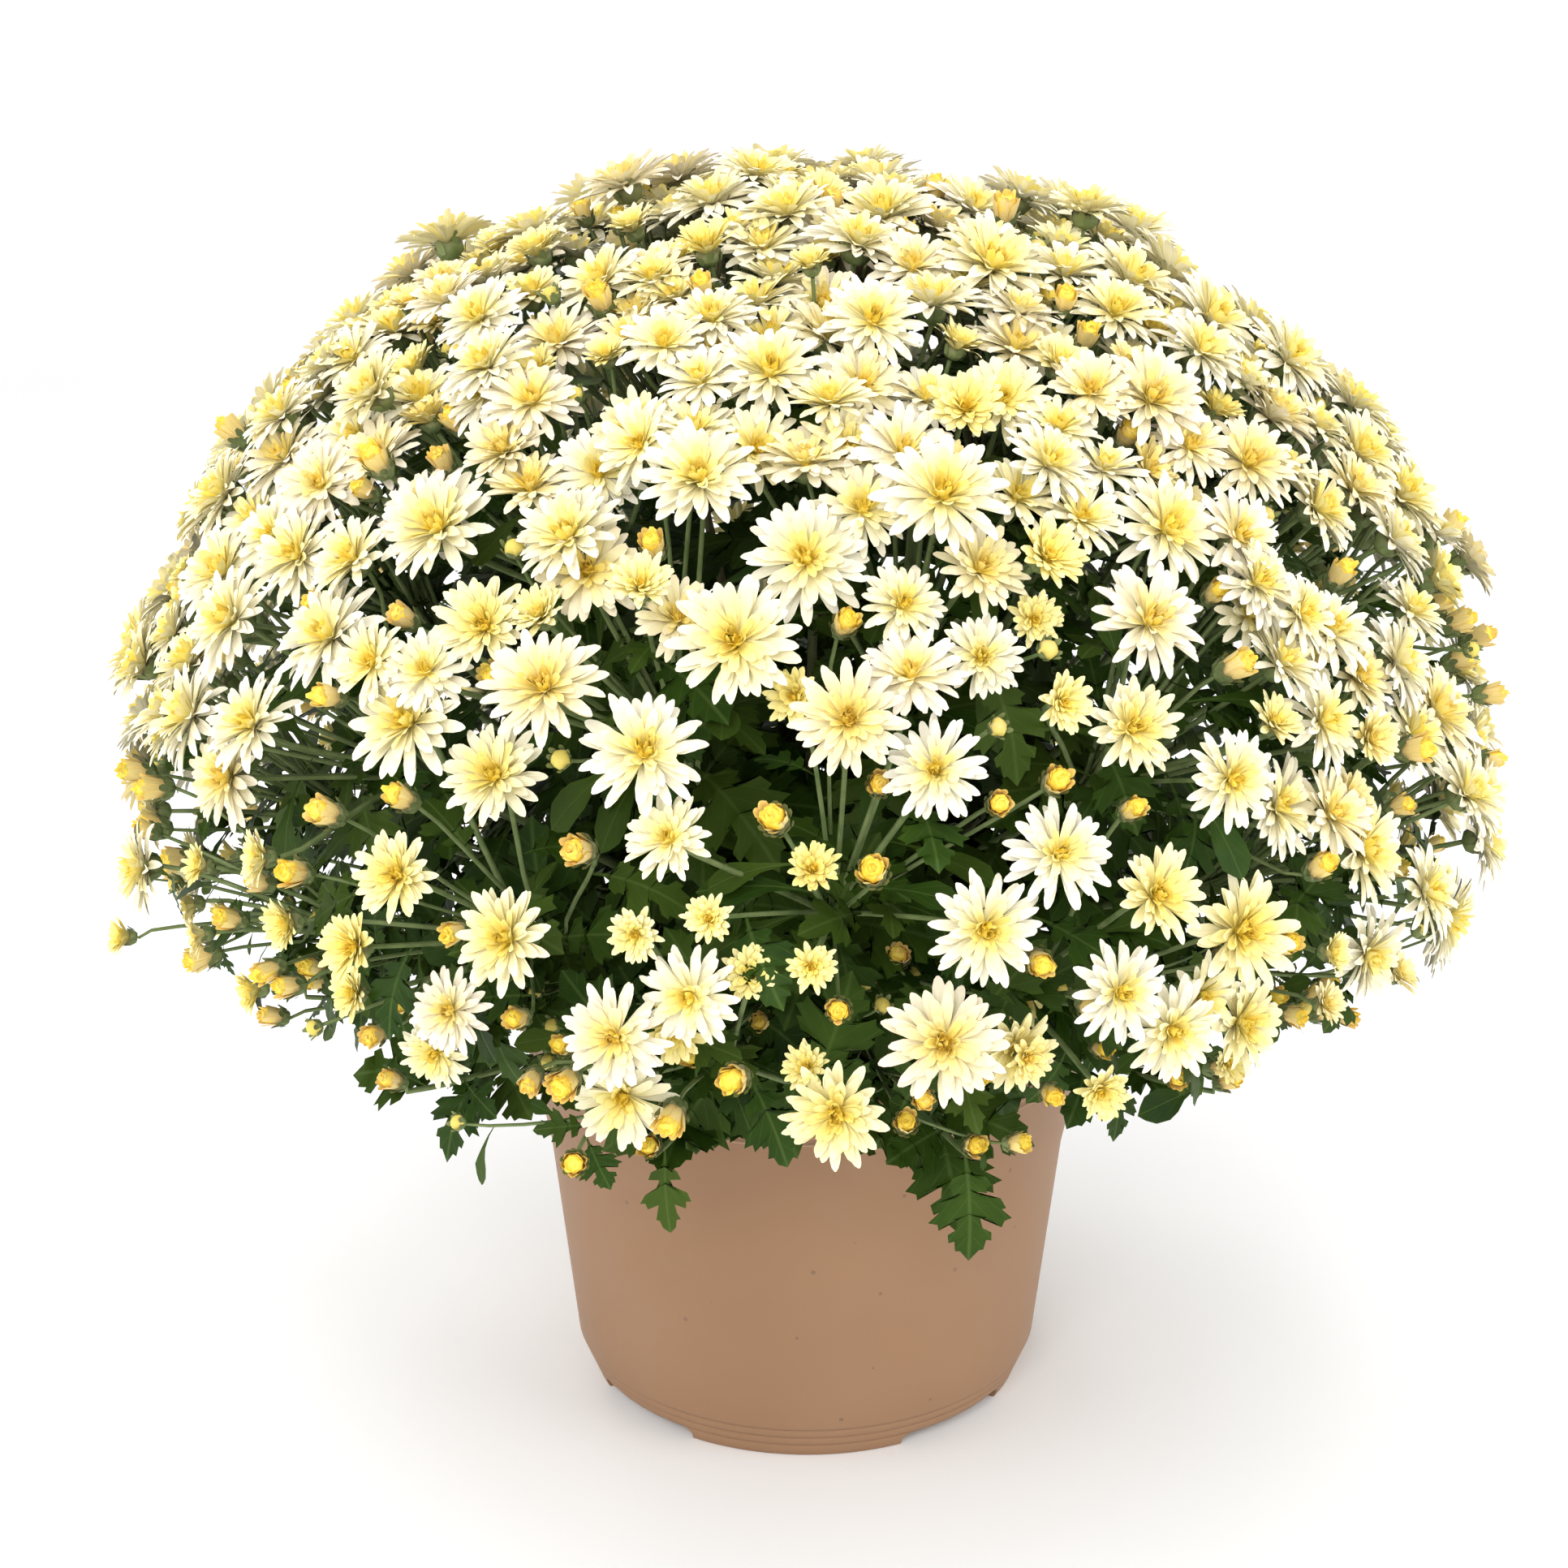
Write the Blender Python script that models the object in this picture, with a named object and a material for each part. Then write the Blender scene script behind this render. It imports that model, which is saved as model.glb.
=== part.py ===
"""A pot chrysanthemum: one bushy plant in a low tapered pot, in metres, +Z up.

The origin is the centre of the pot's foot. The plant has a woody crown in the soil. Flowering
sprays fan out from it to a dome of blooms, and leafy skirt shoots hang over the pot's rim.
Every spray and shoot is one closed skin that is grown face by face: a square stem leaves some
of its side faces open, and a stalk or a leaf starts from each of them.
"""

import math
import random

import bmesh
import bpy
from mathutils import Matrix, Vector
from mathutils.bvhtree import BVHTree

UP = Vector((0.0, 0.0, 1.0))
GOLDEN_ANGLE = math.pi * (3 - math.sqrt(5))
FIT_GAP = 0.0003

# Pot: a low moulded pot, from the foot up
POT_SEGMENTS = 36
POT_HEIGHT = 0.160
POT_RIM_RADIUS = 0.1165
POT_WALL = 0.0020
POT_SHOULDER = (0.1030, 0.1004)
POT_HEEL = (0.0937, 0.0163)
POT_FOOT_RADIUS = 0.0869
POT_FOOT_WALL = 0.0030
POT_FLOOR = (0.0078, 0.0102)
RIM_LIP_DEPTH = 0.0045
RIM_LIP_STEP = 0.0016
RIM_LIP_CHAMFER = 0.0010
RIDGES = (0.1411, 0.1443, 0.1475)
RIDGE_HEIGHT = 0.0006
GROOVES = (0.0054, 0.0095, 0.0136)
GROOVE_DEPTH = 0.0006
BEAD_HALF_WIDTH = 0.0010
SLOT_COUNT = 4
SLOT_ANGLE = math.radians(35)
SLOT_HEIGHT = 0.0052
SLOT_TURN = math.radians(-3)
SLOT_CORNERS = 5
SLOT_SPRING = 0.6
SLOT_CROWN = 0.86
DRAIN_RADIUS = 0.0060
DRAIN_CIRCLE = 0.0720
DRAIN_SIDES = 12
CUTTER_SPARE = 0.002
SHARP_ANGLE = math.radians(35)

# Soil and crown
SOIL_TOP = 0.140
SOIL_EDGE = 0.002
SOIL_EDGE_WIDTH = 0.012
SOIL_CROWNING = 0.001
CROWN_CENTRE = Vector((0.0, 0.0, 0.152))
CROWN_REACH = 0.017
CROWN_DEPTH = 0.026
SOIL_HOLE_RADIUS = 0.0215
ROOT_PLANES = 10
ROOT_SLOPE = math.radians(-25)
CROWN_MERGE = 0.00005

# Flower dome: the bloom centres lie on it
DOME_RADIUS = 0.256
DOME_EQUATOR = 0.262
DOME_RISE = 0.215
DOME_DROP = 0.150
DOME_LOWEST = math.radians(-24)
DOME_STEPS = 400
SITES = 340
SITE_SEED = 34
SITE_JITTER = 0.0032

# Sprays
SPRAYS = 40
SPRAY_PHASE = 1.3
SPRAY_PULL = 0.06
SPRAY_LIFT = 0.0035
SPRAY_SINK = 0.0045
SPRAY_REACH = 0.057
HUB_SHARE = 0.66
STEM_ROOT_RADIUS = 0.0018
STEM_HUB_RADIUS = 0.0033
STEM_TOP_RADIUS = 0.0013
STEM_LEVEL = 0.0055
STEM_UPRIGHT = 0.80
STEM_ARCH = 0.45
SIDES = 4

# Blooms: a star of petals, radius limited by the nearest neighbour
PETAL_POINTS = 6
BLOOM_RADIUS = (0.0118, 0.0185)
BLOOM_GAP = 0.0003
BLOOM_NECK = 0.0050
BLOOM_TOP = 0.0042
PETAL_DROOP = 0.0012
NOTCH_RISE = 0.0004
BLOOM_TILT = math.radians(8)
BLOOM_LIFT = 0.5
NOTCH_SHARE = 0.74
STALK_RADIUS = 0.0010
STALK_SIDES = 3

# Buds: their share grows from the top of the dome down to its skirt
BUD_SHARE_TOP = 0.10
BUD_SHARE_SKIRT = 0.40
BUD_BAND = (0.215, 0.300)
BUD_RADIUS = 0.0062
BUD_SIDES = 5
BUD_NECK_SHARE = 1.3
BUD_WIDEST_SHARE = 0.2
BUD_TOP_SHARE = 1.3

# Leaves: (share of length, share of width) round the blade, from the stalk to the tip
LOBED_LEAF = ((0.30, 0.72), (0.42, 0.36), (0.62, 1.00), (0.68, 0.42))
PLAIN_LEAF = ((0.40, 0.80), (0.72, 0.90))
LEAF_THICKNESS = 0.0012
LEAF_MOUTH = 0.0012
LEAF_STALK = 0.006
LEAF_TIP_DROOP = 0.06
LEAF_CREST = (0.46, 0.03)
HUB_LEAF_LENGTH = 0.030
HUB_LEAF_WIDTH = 0.017
HUB_LEAF_CLIMB = 0.25
BRANCH_TRIES = 240

# Skirt shoots, which hang over the rim
SHOOTS = 12
SHOOT_CLEARANCE = 0.0075
SHOOT_REACH = 0.178
SHOOT_TIP_HEIGHT = 0.174
SHOOT_TAPER = 0.85
SHOOT_RIM = (0.004, 0.012)
SHOOT_RISE = 0.002
SHOOT_LEAF_LENGTH = 0.048
SHOOT_LEAF_WIDTH = 0.030
SHOOT_LEAF_SPREAD = (0.86, 1.05)
SHOOT_LEAF_OUTWARD = 0.55
SHOOT_LEAF_SIDEWAYS = 0.62
SHOOT_LEAF_SWAY = 0.06
SHOOT_BUD_STALK = (0.022, 0.004)
SHOOT_BUD_LIFT = 0.3

# Leaves of a skirt shoot: (hand, climb), from the rim outward. A hand of 0 hangs under the stem
SHOOT_LEAVES = ((1, -0.75), (-1, -0.60), (1, -0.10), (0, -0.90))

COLOURS = {
    "petal": ((0.90, 0.84, 0.62), 0.60),
    "leaf": ((0.045, 0.115, 0.022), 0.55),
    "wood": ((0.23, 0.20, 0.10), 0.80),
    "pot": ((0.48, 0.28, 0.17), 0.62),
    "soil": ((0.040, 0.026, 0.018), 0.95),
}


def clear_scene():
    """Removes every object of the startup scene."""
    for obj in list(bpy.data.objects):
        bpy.data.objects.remove(obj, do_unlink=True)


def material(name):
    """The Principled material with the named colour."""
    found = bpy.data.materials.get(name)
    if found:
        return found
    colour, roughness = COLOURS[name]
    made = bpy.data.materials.new(name)
    made.use_nodes = True
    shader = made.node_tree.nodes["Principled BSDF"]
    shader.inputs["Base Color"].default_value = (*colour, 1.0)
    shader.inputs["Roughness"].default_value = roughness
    shader.inputs["Metallic"].default_value = 0.0
    return made


def add_object(name, bm, *material_names):
    """Turns a bmesh into a named object with its faces pointing out."""
    bmesh.ops.recalc_face_normals(bm, faces=bm.faces[:])
    if bm.calc_volume(signed=True) < 0:
        bmesh.ops.reverse_faces(bm, faces=bm.faces[:])
    mesh = bpy.data.meshes.new(name)
    bm.to_mesh(mesh)
    bm.free()
    for material_name in material_names:
        mesh.materials.append(material(material_name))
    obj = bpy.data.objects.new(name, mesh)
    bpy.context.scene.collection.objects.link(obj)
    return obj


# Layout of the plant


def dome_point(turn, azimuth):
    """A point of the dome and its outward normal. The turn is 0 at the equator and 90 degrees at the top."""
    rise = DOME_RISE if turn > 0 else DOME_DROP
    out = Vector((math.cos(azimuth), math.sin(azimuth), 0.0))
    point = out * (DOME_RADIUS * math.cos(turn)) + UP * (DOME_EQUATOR + rise * math.sin(turn))
    normal = out * (math.cos(turn) / DOME_RADIUS) + UP * (math.sin(turn) / rise)
    return point, normal.normalized()


def dome_turns(count):
    """Turns of count points, so that each stands for the same area of the dome, from the top down."""
    turns = [math.pi / 2 + (DOME_LOWEST - math.pi / 2) * i / DOME_STEPS for i in range(DOME_STEPS + 1)]
    area = [0.0]
    for low, high in zip(turns, turns[1:]):
        a, b = dome_point(low, 0.0)[0], dome_point(high, 0.0)[0]
        area.append(area[-1] + (b - a).length * (a.x + b.x))
    found, step = [], 0
    for i in range(count):
        wanted = area[-1] * (i + 0.5) / count
        while area[step + 1] < wanted:
            step += 1
        share = (wanted - area[step]) / (area[step + 1] - area[step])
        found.append(turns[step] + (turns[step + 1] - turns[step]) * share)
    return found


def spiral(count, phase):
    """(point, normal) of count evenly spread places on the dome, on a golden-angle spiral."""
    return [dome_point(turn, phase + i * GOLDEN_ANGLE) for i, turn in enumerate(dome_turns(count))]


def bud_share(height):
    """The share of sites at a height that hold a bud."""
    share = min(1.0, max(0.0, (height - BUD_BAND[0]) / (BUD_BAND[1] - BUD_BAND[0])))
    return BUD_SHARE_SKIRT + (BUD_SHARE_TOP - BUD_SHARE_SKIRT) * share


def place_sprays():
    """The sprays: each has a centre on the dome and its sites, which hold a bloom or a bud."""
    draw = random.Random(SITE_SEED)
    centres = spiral(SPRAYS, SPRAY_PHASE)
    sprays = [{"centre": centre, "normal": normal, "sites": []} for centre, normal in centres]
    for point, normal in spiral(SITES, 0.0):
        point = point + Vector([draw.uniform(-SITE_JITTER, SITE_JITTER) for _ in range(3)])
        spray = min(sprays, key=lambda s: (s["centre"] - point).length)
        away = point - spray["centre"]
        share = min(1.0, away.length / SPRAY_REACH)
        lift = SPRAY_LIFT - (SPRAY_LIFT + SPRAY_SINK) * share * share
        tilt = Vector([draw.uniform(-1, 1) for _ in range(3)]) * math.tan(BLOOM_TILT)
        site = {
            "point": spray["centre"] + away * (1 - SPRAY_PULL) + normal * lift,
            "normal": ((normal + UP * BLOOM_LIFT).normalized() + tilt).normalized(),
            "turn": draw.uniform(0, 2 * math.pi),
            "bud": draw.random() < bud_share(point.z),
        }
        spray["sites"].append(site)
    sites = [site for spray in sprays for site in spray["sites"]]
    for site in sites:
        nearest = min((other["point"] - site["point"]).length for other in sites if other is not site)
        site["radius"] = min(BLOOM_RADIUS[1], max(BLOOM_RADIUS[0], nearest / 2 - BLOOM_GAP))
    return sprays


def place_stem(spray):
    """Start direction, root, knee, hub and end direction of a spray's stem, which arches from the crown."""
    middle = sum((site["point"] for site in spray["sites"]), Vector()) / len(spray["sites"])
    hub = CROWN_CENTRE + (middle - CROWN_CENTRE) * HUB_SHARE
    away = hub - CROWN_CENTRE
    azimuth = math.atan2(away.y, away.x)
    lean = math.acos(away.normalized().z) * STEM_UPRIGHT
    start = direction_of(azimuth, lean)
    root = CROWN_CENTRE + start * (CROWN_REACH + FIT_GAP)
    knee = (root + start * (away.length * STEM_ARCH)) * 0.5 + (root + hub) * 0.25
    return start, root, knee, hub, (middle - knee).normalized()


def direction_of(azimuth, lean):
    """A unit vector that leans from upright towards the azimuth."""
    return Vector((math.cos(azimuth) * math.sin(lean), math.sin(azimuth) * math.sin(lean), math.cos(lean)))


def shoot_azimuth(index):
    """Azimuth of a skirt shoot."""
    return (index + 0.5) * 2 * math.pi / SHOOTS


# Skins grown face by face


def side_frame(axis):
    """Two unit vectors square to the axis and to each other."""
    helper = UP if abs(axis.z) < 0.92 else Vector((1.0, 0.0, 0.0))
    first = axis.cross(helper).normalized()
    return first, axis.cross(first).normalized()


def angle_round(axis, point, centre):
    """Angle of a point round an axis through a centre, from the axis's own side frame."""
    first, second = side_frame(axis)
    away = point - centre
    return math.atan2(away.dot(second), away.dot(first))


def add_ring(bm, centre, axis, radius, angles):
    """A loop of vertices round an axis, at the angles given."""
    first, second = side_frame(axis)
    return [bm.verts.new(centre + (first * math.cos(a) + second * math.sin(a)) * radius) for a in angles]


def even_angles(count, start=0.0):
    """Angles of count evenly spread points."""
    return [start + 2 * math.pi * i / count for i in range(count)]


def zip_steps(low_count, high_count):
    """Corner pairs (i, j) that an even walk along two loops joins. Both count on past a full turn."""
    i = j = 0
    pairs = [(0, 0)]
    while i < low_count or j < high_count:
        step_low = j == high_count or (i < low_count and (i + 0.5) * high_count < (j + 0.5) * low_count)
        i, j = (i + 1, j) if step_low else (i, j + 1)
        pairs.append((i, j))
    return pairs


def middle(loop):
    """Mean point of a loop of vertices."""
    return sum((v.co for v in loop), Vector()) / len(loop)


def zip_loops(bm, low, high, paint):
    """Joins two loops of vertices, both wound the same way, with triangles and with the least twist."""
    pairs = zip_steps(len(low), len(high))
    axis = (middle(high) - middle(low)).normalized()

    def directions(loop):
        away = [v.co - middle(loop) for v in loop]
        return [(d - axis * d.dot(axis)).normalized() for d in away]

    low_ways, high_ways = directions(low), directions(high)

    def match(start):
        return sum(low_ways[i % len(low)].dot(high_ways[(start + j) % len(high)]) for i, j in pairs)

    start = max(range(len(high)), key=match)
    high = high[start:] + high[:start]
    for (i, j), (next_i, next_j) in zip(pairs, pairs[1:]):
        a, b = low[i % len(low)], high[j % len(high)]
        third = low[next_i % len(low)] if next_i > i else high[next_j % len(high)]
        bm.faces.new((a, third, b)).material_index = paint


def close_loop(bm, loop, point, paint):
    """Closes a loop with a fan of triangles to one point."""
    tip = bm.verts.new(point)
    for a, b in zip(loop, loop[1:] + loop[:1]):
        bm.faces.new((a, b, tip)).material_index = paint


PETAL, GREEN = 0, 1


def grow_bloom(bm, base, site):
    """A stalk from a loop of the stem, and a star of petals on it."""
    point, normal, radius = site["point"], site["normal"], site["radius"]
    stalk_angles = even_angles(STALK_SIDES, site["turn"])
    neck = add_ring(bm, point - normal * BLOOM_NECK, normal, STALK_RADIUS, stalk_angles)
    zip_loops(bm, base, neck, GREEN)
    first, second = side_frame(normal)
    rim = []
    for i, angle in enumerate(even_angles(2 * PETAL_POINTS, site["turn"])):
        reach, rise = (radius * NOTCH_SHARE, NOTCH_RISE) if i % 2 else (radius, -PETAL_DROOP)
        outward = first * math.cos(angle) + second * math.sin(angle)
        rim.append(bm.verts.new(point + outward * reach + normal * rise))
    zip_loops(bm, neck, rim, PETAL)
    close_loop(bm, rim, point + normal * BLOOM_TOP, PETAL)


def grow_bud(bm, base, point, normal, turn):
    """A stalk from a loop of the stem, and a tuft of closed petals on it."""
    reach = normal * BUD_RADIUS
    neck = add_ring(bm, point - reach * BUD_NECK_SHARE, normal, STALK_RADIUS, even_angles(STALK_SIDES, turn))
    zip_loops(bm, base, neck, GREEN)
    rim = add_ring(bm, point + reach * BUD_WIDEST_SHARE, normal, BUD_RADIUS, even_angles(BUD_SIDES, turn))
    zip_loops(bm, neck, rim, PETAL)
    close_loop(bm, rim, point + reach * BUD_TOP_SHARE, PETAL)


def grow_leaf(bm, base, start, direction, face_up, length, width, outline):
    """A thin lobed blade that starts from a loop of the stem, with a raised midrib."""
    side = direction.cross(face_up).normalized()
    top = side.cross(direction).normalized()
    half = LEAF_THICKNESS / 2
    left = bm.verts.new(start - side * LEAF_MOUTH)
    right = bm.verts.new(start + side * LEAF_MOUTH)
    mouth = [left, bm.verts.new(start + top * half), right, bm.verts.new(start - top * half)]
    zip_loops(bm, base, mouth, GREEN)
    edge = [start + direction * (length * x) - side * (width * y / 2) for x, y in outline]
    edge.append(start + direction * length - top * (length * LEAF_TIP_DROOP))
    edge += [start + direction * (length * x) + side * (width * y / 2) for x, y in reversed(outline)]
    rim = [left, *[bm.verts.new(p) for p in edge], right]
    crest = start + direction * (length * LEAF_CREST[0]) + top * (length * LEAF_CREST[1])
    for rise, heel in ((half, mouth[1]), (-half, mouth[3])):
        centre = bm.verts.new(crest + top * rise)
        for a, b in zip([heel, *rim], [*rim, heel]):
            bm.faces.new((a, b, centre)).material_index = GREEN


def side_loop(low, high, side):
    """The four vertices round one side face between two rings of a stem."""
    after = (side + 1) % len(low)
    return [low[side], low[after], high[after], high[side]]


def deal_sides(items, angle_of, rank):
    """Splits the items into SIDES runs of neighbours by angle. Returns the runs and the stem's corner angles.

    The first run starts after the widest gap between two items, or after the next widest for a rank of 1.
    """
    items = sorted(items, key=angle_of)
    angles = [angle_of(item) for item in items]
    gaps = [(angles[i] - angles[i - 1]) % (2 * math.pi) for i in range(len(items))]
    first = sorted(range(len(items)), key=lambda i: -gaps[i])[rank]
    items = items[first:] + items[:first]
    cuts = [round(len(items) * k / SIDES) for k in range(SIDES + 1)]
    runs = [items[a:b] for a, b in zip(cuts, cuts[1:])]
    corners = []
    for k in range(SIDES):
        before, after = angle_of(items[cuts[k] - 1]), angle_of(items[cuts[k] % len(items)])
        corners.append(before + ((after - before) % (2 * math.pi)) / 2)
    return runs, corners


def crossings(bm):
    """How many pairs of faces of a skin cross, apart from those that share a corner."""
    bm.faces.index_update()
    bm.verts.index_update()
    corners = [{v.index for v in face.verts} for face in bm.faces]
    tree = BVHTree.FromBMesh(bm)
    return sum(a < b and not corners[a] & corners[b] for a, b in tree.overlap(tree))


def grow_spray(spray, leaf_angle, rank, pick):
    """The skin of one flowering spray: an arched stem, a stalk to each bloom or bud, and a leaf.

    The stem's end carries the item that is nearest to its axis, or the next nearest for a pick of 1.
    """
    start, root, knee, hub, axis = place_stem(spray)
    sites = spray["sites"]

    def angle_of(item):
        return angle_round(axis, item["point"], hub)

    def off_axis(item):
        away = item["point"] - hub
        return (away - axis * away.dot(axis)).length

    central = sorted(sites, key=off_axis)[pick]
    first, second = side_frame(axis)  # the second points down where the axis lies level
    leaf = {"point": hub + first * math.cos(leaf_angle) + second * math.sin(leaf_angle), "leaf": True}
    runs, corners = deal_sides([site for site in sites if site is not central] + [leaf], angle_of, rank)
    levels = max(len(run) for run in runs)

    bm = bmesh.new()
    foot = add_ring(bm, root, start, STEM_ROOT_RADIUS, corners)
    bm.faces.new(foot).material_index = GREEN
    bend = add_ring(bm, knee, (start + axis).normalized(), STEM_ROOT_RADIUS, corners)
    zip_loops(bm, foot, bend, GREEN)
    low = add_ring(bm, hub, axis, STEM_HUB_RADIUS, corners)
    zip_loops(bm, bend, low, GREEN)
    for level in range(levels):
        radius = STEM_HUB_RADIUS + (STEM_TOP_RADIUS - STEM_HUB_RADIUS) * (level + 1) / levels
        high = add_ring(bm, hub + axis * STEM_LEVEL * (level + 1), axis, radius, corners)
        for side, run in enumerate(runs):
            outer_first = sorted(run, key=off_axis, reverse=True)
            loop = side_loop(low, high, side)
            if level < len(outer_first):
                grow_item(bm, loop, outer_first[level], axis)
            else:
                bm.faces.new(loop).material_index = GREEN
        low = high
    grow_item(bm, low, central, axis)
    return bm


def build_spray(name, spray, draw):
    """One flowering spray. It tries ways to branch until the stalks reach their blooms without crossing."""
    best, fewest = None, None
    for attempt in range(BRANCH_TRIES):
        bm = grow_spray(spray, draw.uniform(math.pi, 2 * math.pi), attempt % 3, attempt // 3 % 3)
        count = crossings(bm)
        if best is None or count < fewest:
            if best:
                best.free()
            best, fewest = bm, count
        else:
            bm.free()
        if fewest == 0:
            break
    return add_object(name, best, "petal", "leaf")


def grow_item(bm, loop, item, axis):
    """Grows what an open face of the stem carries: a leaf, a bud or a bloom."""
    if item.get("leaf"):
        centre = middle(loop)
        away = item["point"] - centre
        outward = (away - axis * away.dot(axis)).normalized()
        heading = (outward + axis * HUB_LEAF_CLIMB).normalized()
        start = centre + outward * LEAF_STALK
        grow_leaf(bm, loop, start, heading, axis, HUB_LEAF_LENGTH, HUB_LEAF_WIDTH, PLAIN_LEAF)
    elif item["bud"]:
        grow_bud(bm, loop, item["point"], item["normal"], item["turn"])
    else:
        grow_bloom(bm, loop, item)


def shoot_places(out):
    """Places along a skirt shoot's stem: at the crown, over the rim, and both ends of each leafy length."""
    start = CROWN_CENTRE + out * (CROWN_REACH + FIT_GAP)
    level = POT_HEIGHT + SHOOT_CLEARANCE
    over = out * (POT_RIM_RADIUS - SHOOT_RIM[0]) + UP * level
    beyond = out * (POT_RIM_RADIUS + SHOOT_RIM[1]) + UP * (level + SHOOT_RISE)
    tip = out * SHOOT_REACH + UP * SHOOT_TIP_HEIGHT
    lengths = len(SHOOT_LEAVES) + 1
    return [start, over, *(beyond.lerp(tip, k / lengths) for k in range(lengths + 1))]


def grow_shoot_leaf(bm, loop, out, hand, climb, draw):
    """One lobed leaf of a skirt shoot, from an open face of its stem."""
    side = UP.cross(out)
    heading = (out * SHOOT_LEAF_OUTWARD + side * hand * SHOOT_LEAF_SIDEWAYS + UP * climb).normalized()
    sway = side * draw.uniform(-SHOOT_LEAF_SWAY, SHOOT_LEAF_SWAY)
    length = SHOOT_LEAF_LENGTH * draw.uniform(*SHOOT_LEAF_SPREAD)
    start = middle(loop) + heading * LEAF_STALK
    grow_leaf(bm, loop, start, (heading + sway).normalized(), UP + out, length, SHOOT_LEAF_WIDTH, LOBED_LEAF)


def build_shoot(name, index, draw):
    """One leafy skirt shoot: it leaves the crown level, passes over the rim and hangs its leaves outside."""
    out = direction_of(shoot_azimuth(index), math.pi / 2)
    side = UP.cross(out)
    places = shoot_places(out)
    corners = even_angles(SIDES, math.pi / SIDES)
    bm = bmesh.new()
    low = add_ring(bm, places[0], out, STEM_ROOT_RADIUS, corners)
    bm.faces.new(low).material_index = GREEN
    for place in places[1:3]:
        high = add_ring(bm, place, out, STEM_ROOT_RADIUS, corners)
        zip_loops(bm, low, high, GREEN)
        low = high
    faces = {0: side_facing(low, -UP), 1: side_facing(low, side), -1: side_facing(low, -side)}
    for place, leaf in zip(places[3:], (*SHOOT_LEAVES, None)):
        high = add_ring(bm, place, out, STEM_ROOT_RADIUS * SHOOT_TAPER, corners)
        used = faces[leaf[0]] if leaf else None
        if leaf:
            grow_shoot_leaf(bm, side_loop(low, high, used), out, *leaf, draw)
        for k in range(SIDES):
            if k != used:
                bm.faces.new(side_loop(low, high, k)).material_index = GREEN
        low = high
    bud = places[-1] + out * SHOOT_BUD_STALK[0] + UP * SHOOT_BUD_STALK[1]
    grow_bud(bm, low, bud, (out + UP * SHOOT_BUD_LIFT).normalized(), 0.0)
    return add_object(name, bm, "petal", "leaf")


def side_facing(ring, wanted):
    """Index of the side of a ring that faces a direction best."""
    centre = middle(ring)

    def facing(k):
        return (middle([ring[k], ring[(k + 1) % len(ring)]]) - centre).dot(wanted)

    return max(range(len(ring)), key=facing)


# Crown, soil and pot


def build_crown(directions):
    """The woody crown: a body with one flat facet for each stem, narrowing to a root stub in the soil."""
    planes = [direction / CROWN_REACH for direction in directions]
    for k in range(ROOT_PLANES):
        lean = math.pi / 2 - ROOT_SLOPE
        planes.append(direction_of(2 * math.pi * k / ROOT_PLANES, lean) / CROWN_REACH)
    planes.append(-UP / CROWN_DEPTH)
    dual = bmesh.new()
    for plane in planes:
        dual.verts.new(plane)
    bmesh.ops.convex_hull(dual, input=dual.verts[:])
    corners = []
    for face in dual.faces:
        rows = [v.co for v in face.verts[:3]]
        corners.append(Matrix(rows).inverted() @ Vector((1.0, 1.0, 1.0)))
    dual.free()
    bm = bmesh.new()
    for corner in corners:
        bm.verts.new(CROWN_CENTRE + corner)
    bmesh.ops.remove_doubles(bm, verts=bm.verts[:], dist=CROWN_MERGE)
    bmesh.ops.convex_hull(bm, input=bm.verts[:])
    loose = [v for v in bm.verts if not v.link_faces]
    bmesh.ops.delete(bm, geom=loose, context="VERTS")
    return add_object("crown", bm, "wood")


def turned(name, profile, *material_names):
    """A body of revolution from (radius, height) points that run round its section."""
    bm = bmesh.new()
    loops = []
    for radius, height in profile:
        angles = even_angles(POT_SEGMENTS if radius else 1)
        loops.append([bm.verts.new((radius * math.cos(a), radius * math.sin(a), height)) for a in angles])
    for low, high in zip(loops, loops[1:] + loops[:1]):
        if len(low) == len(high) == 1:
            continue
        for k in range(POT_SEGMENTS):
            after = (k + 1) % POT_SEGMENTS
            corners = [low[k % len(low)], low[after % len(low)], high[after % len(high)], high[k % len(high)]]
            bm.faces.new(list(dict.fromkeys(corners)))
    return add_object(name, bm, *material_names)


def outer_radius(height):
    """Radius of the pot's outer wall, without its beads and lip."""
    slope = (POT_RIM_RADIUS - RIM_LIP_STEP - POT_SHOULDER[0]) / (POT_HEIGHT - POT_SHOULDER[1])
    if height > POT_SHOULDER[1]:
        return POT_SHOULDER[0] + slope * (height - POT_SHOULDER[1])
    if height > POT_HEEL[1]:
        share = (height - POT_HEEL[1]) / (POT_SHOULDER[1] - POT_HEEL[1])
        return POT_HEEL[0] + (POT_SHOULDER[0] - POT_HEEL[0]) * share
    return POT_FOOT_RADIUS + (POT_HEEL[0] - POT_FOOT_RADIUS) * height / POT_HEEL[1]


def beads(heights, rise):
    """Profile points of a row of small ridges, or of grooves where the rise is negative."""
    middles = [(low + high) / 2 for low, high in zip(heights, heights[1:])]
    flats = [heights[0] - BEAD_HALF_WIDTH, *middles, heights[-1] + BEAD_HALF_WIDTH]
    points = [(outer_radius(height), height) for height in flats]
    points += [(outer_radius(height) + rise, height) for height in heights]
    return sorted(points, key=lambda point: point[1])


def inner_wall():
    """Profile points of the pot's inside, from the rim down to the floor's edge."""
    heights = (POT_HEIGHT, POT_SHOULDER[1], POT_HEEL[1], POT_FLOOR[1])
    return [(outer_radius(height) - POT_WALL, height) for height in heights]


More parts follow.
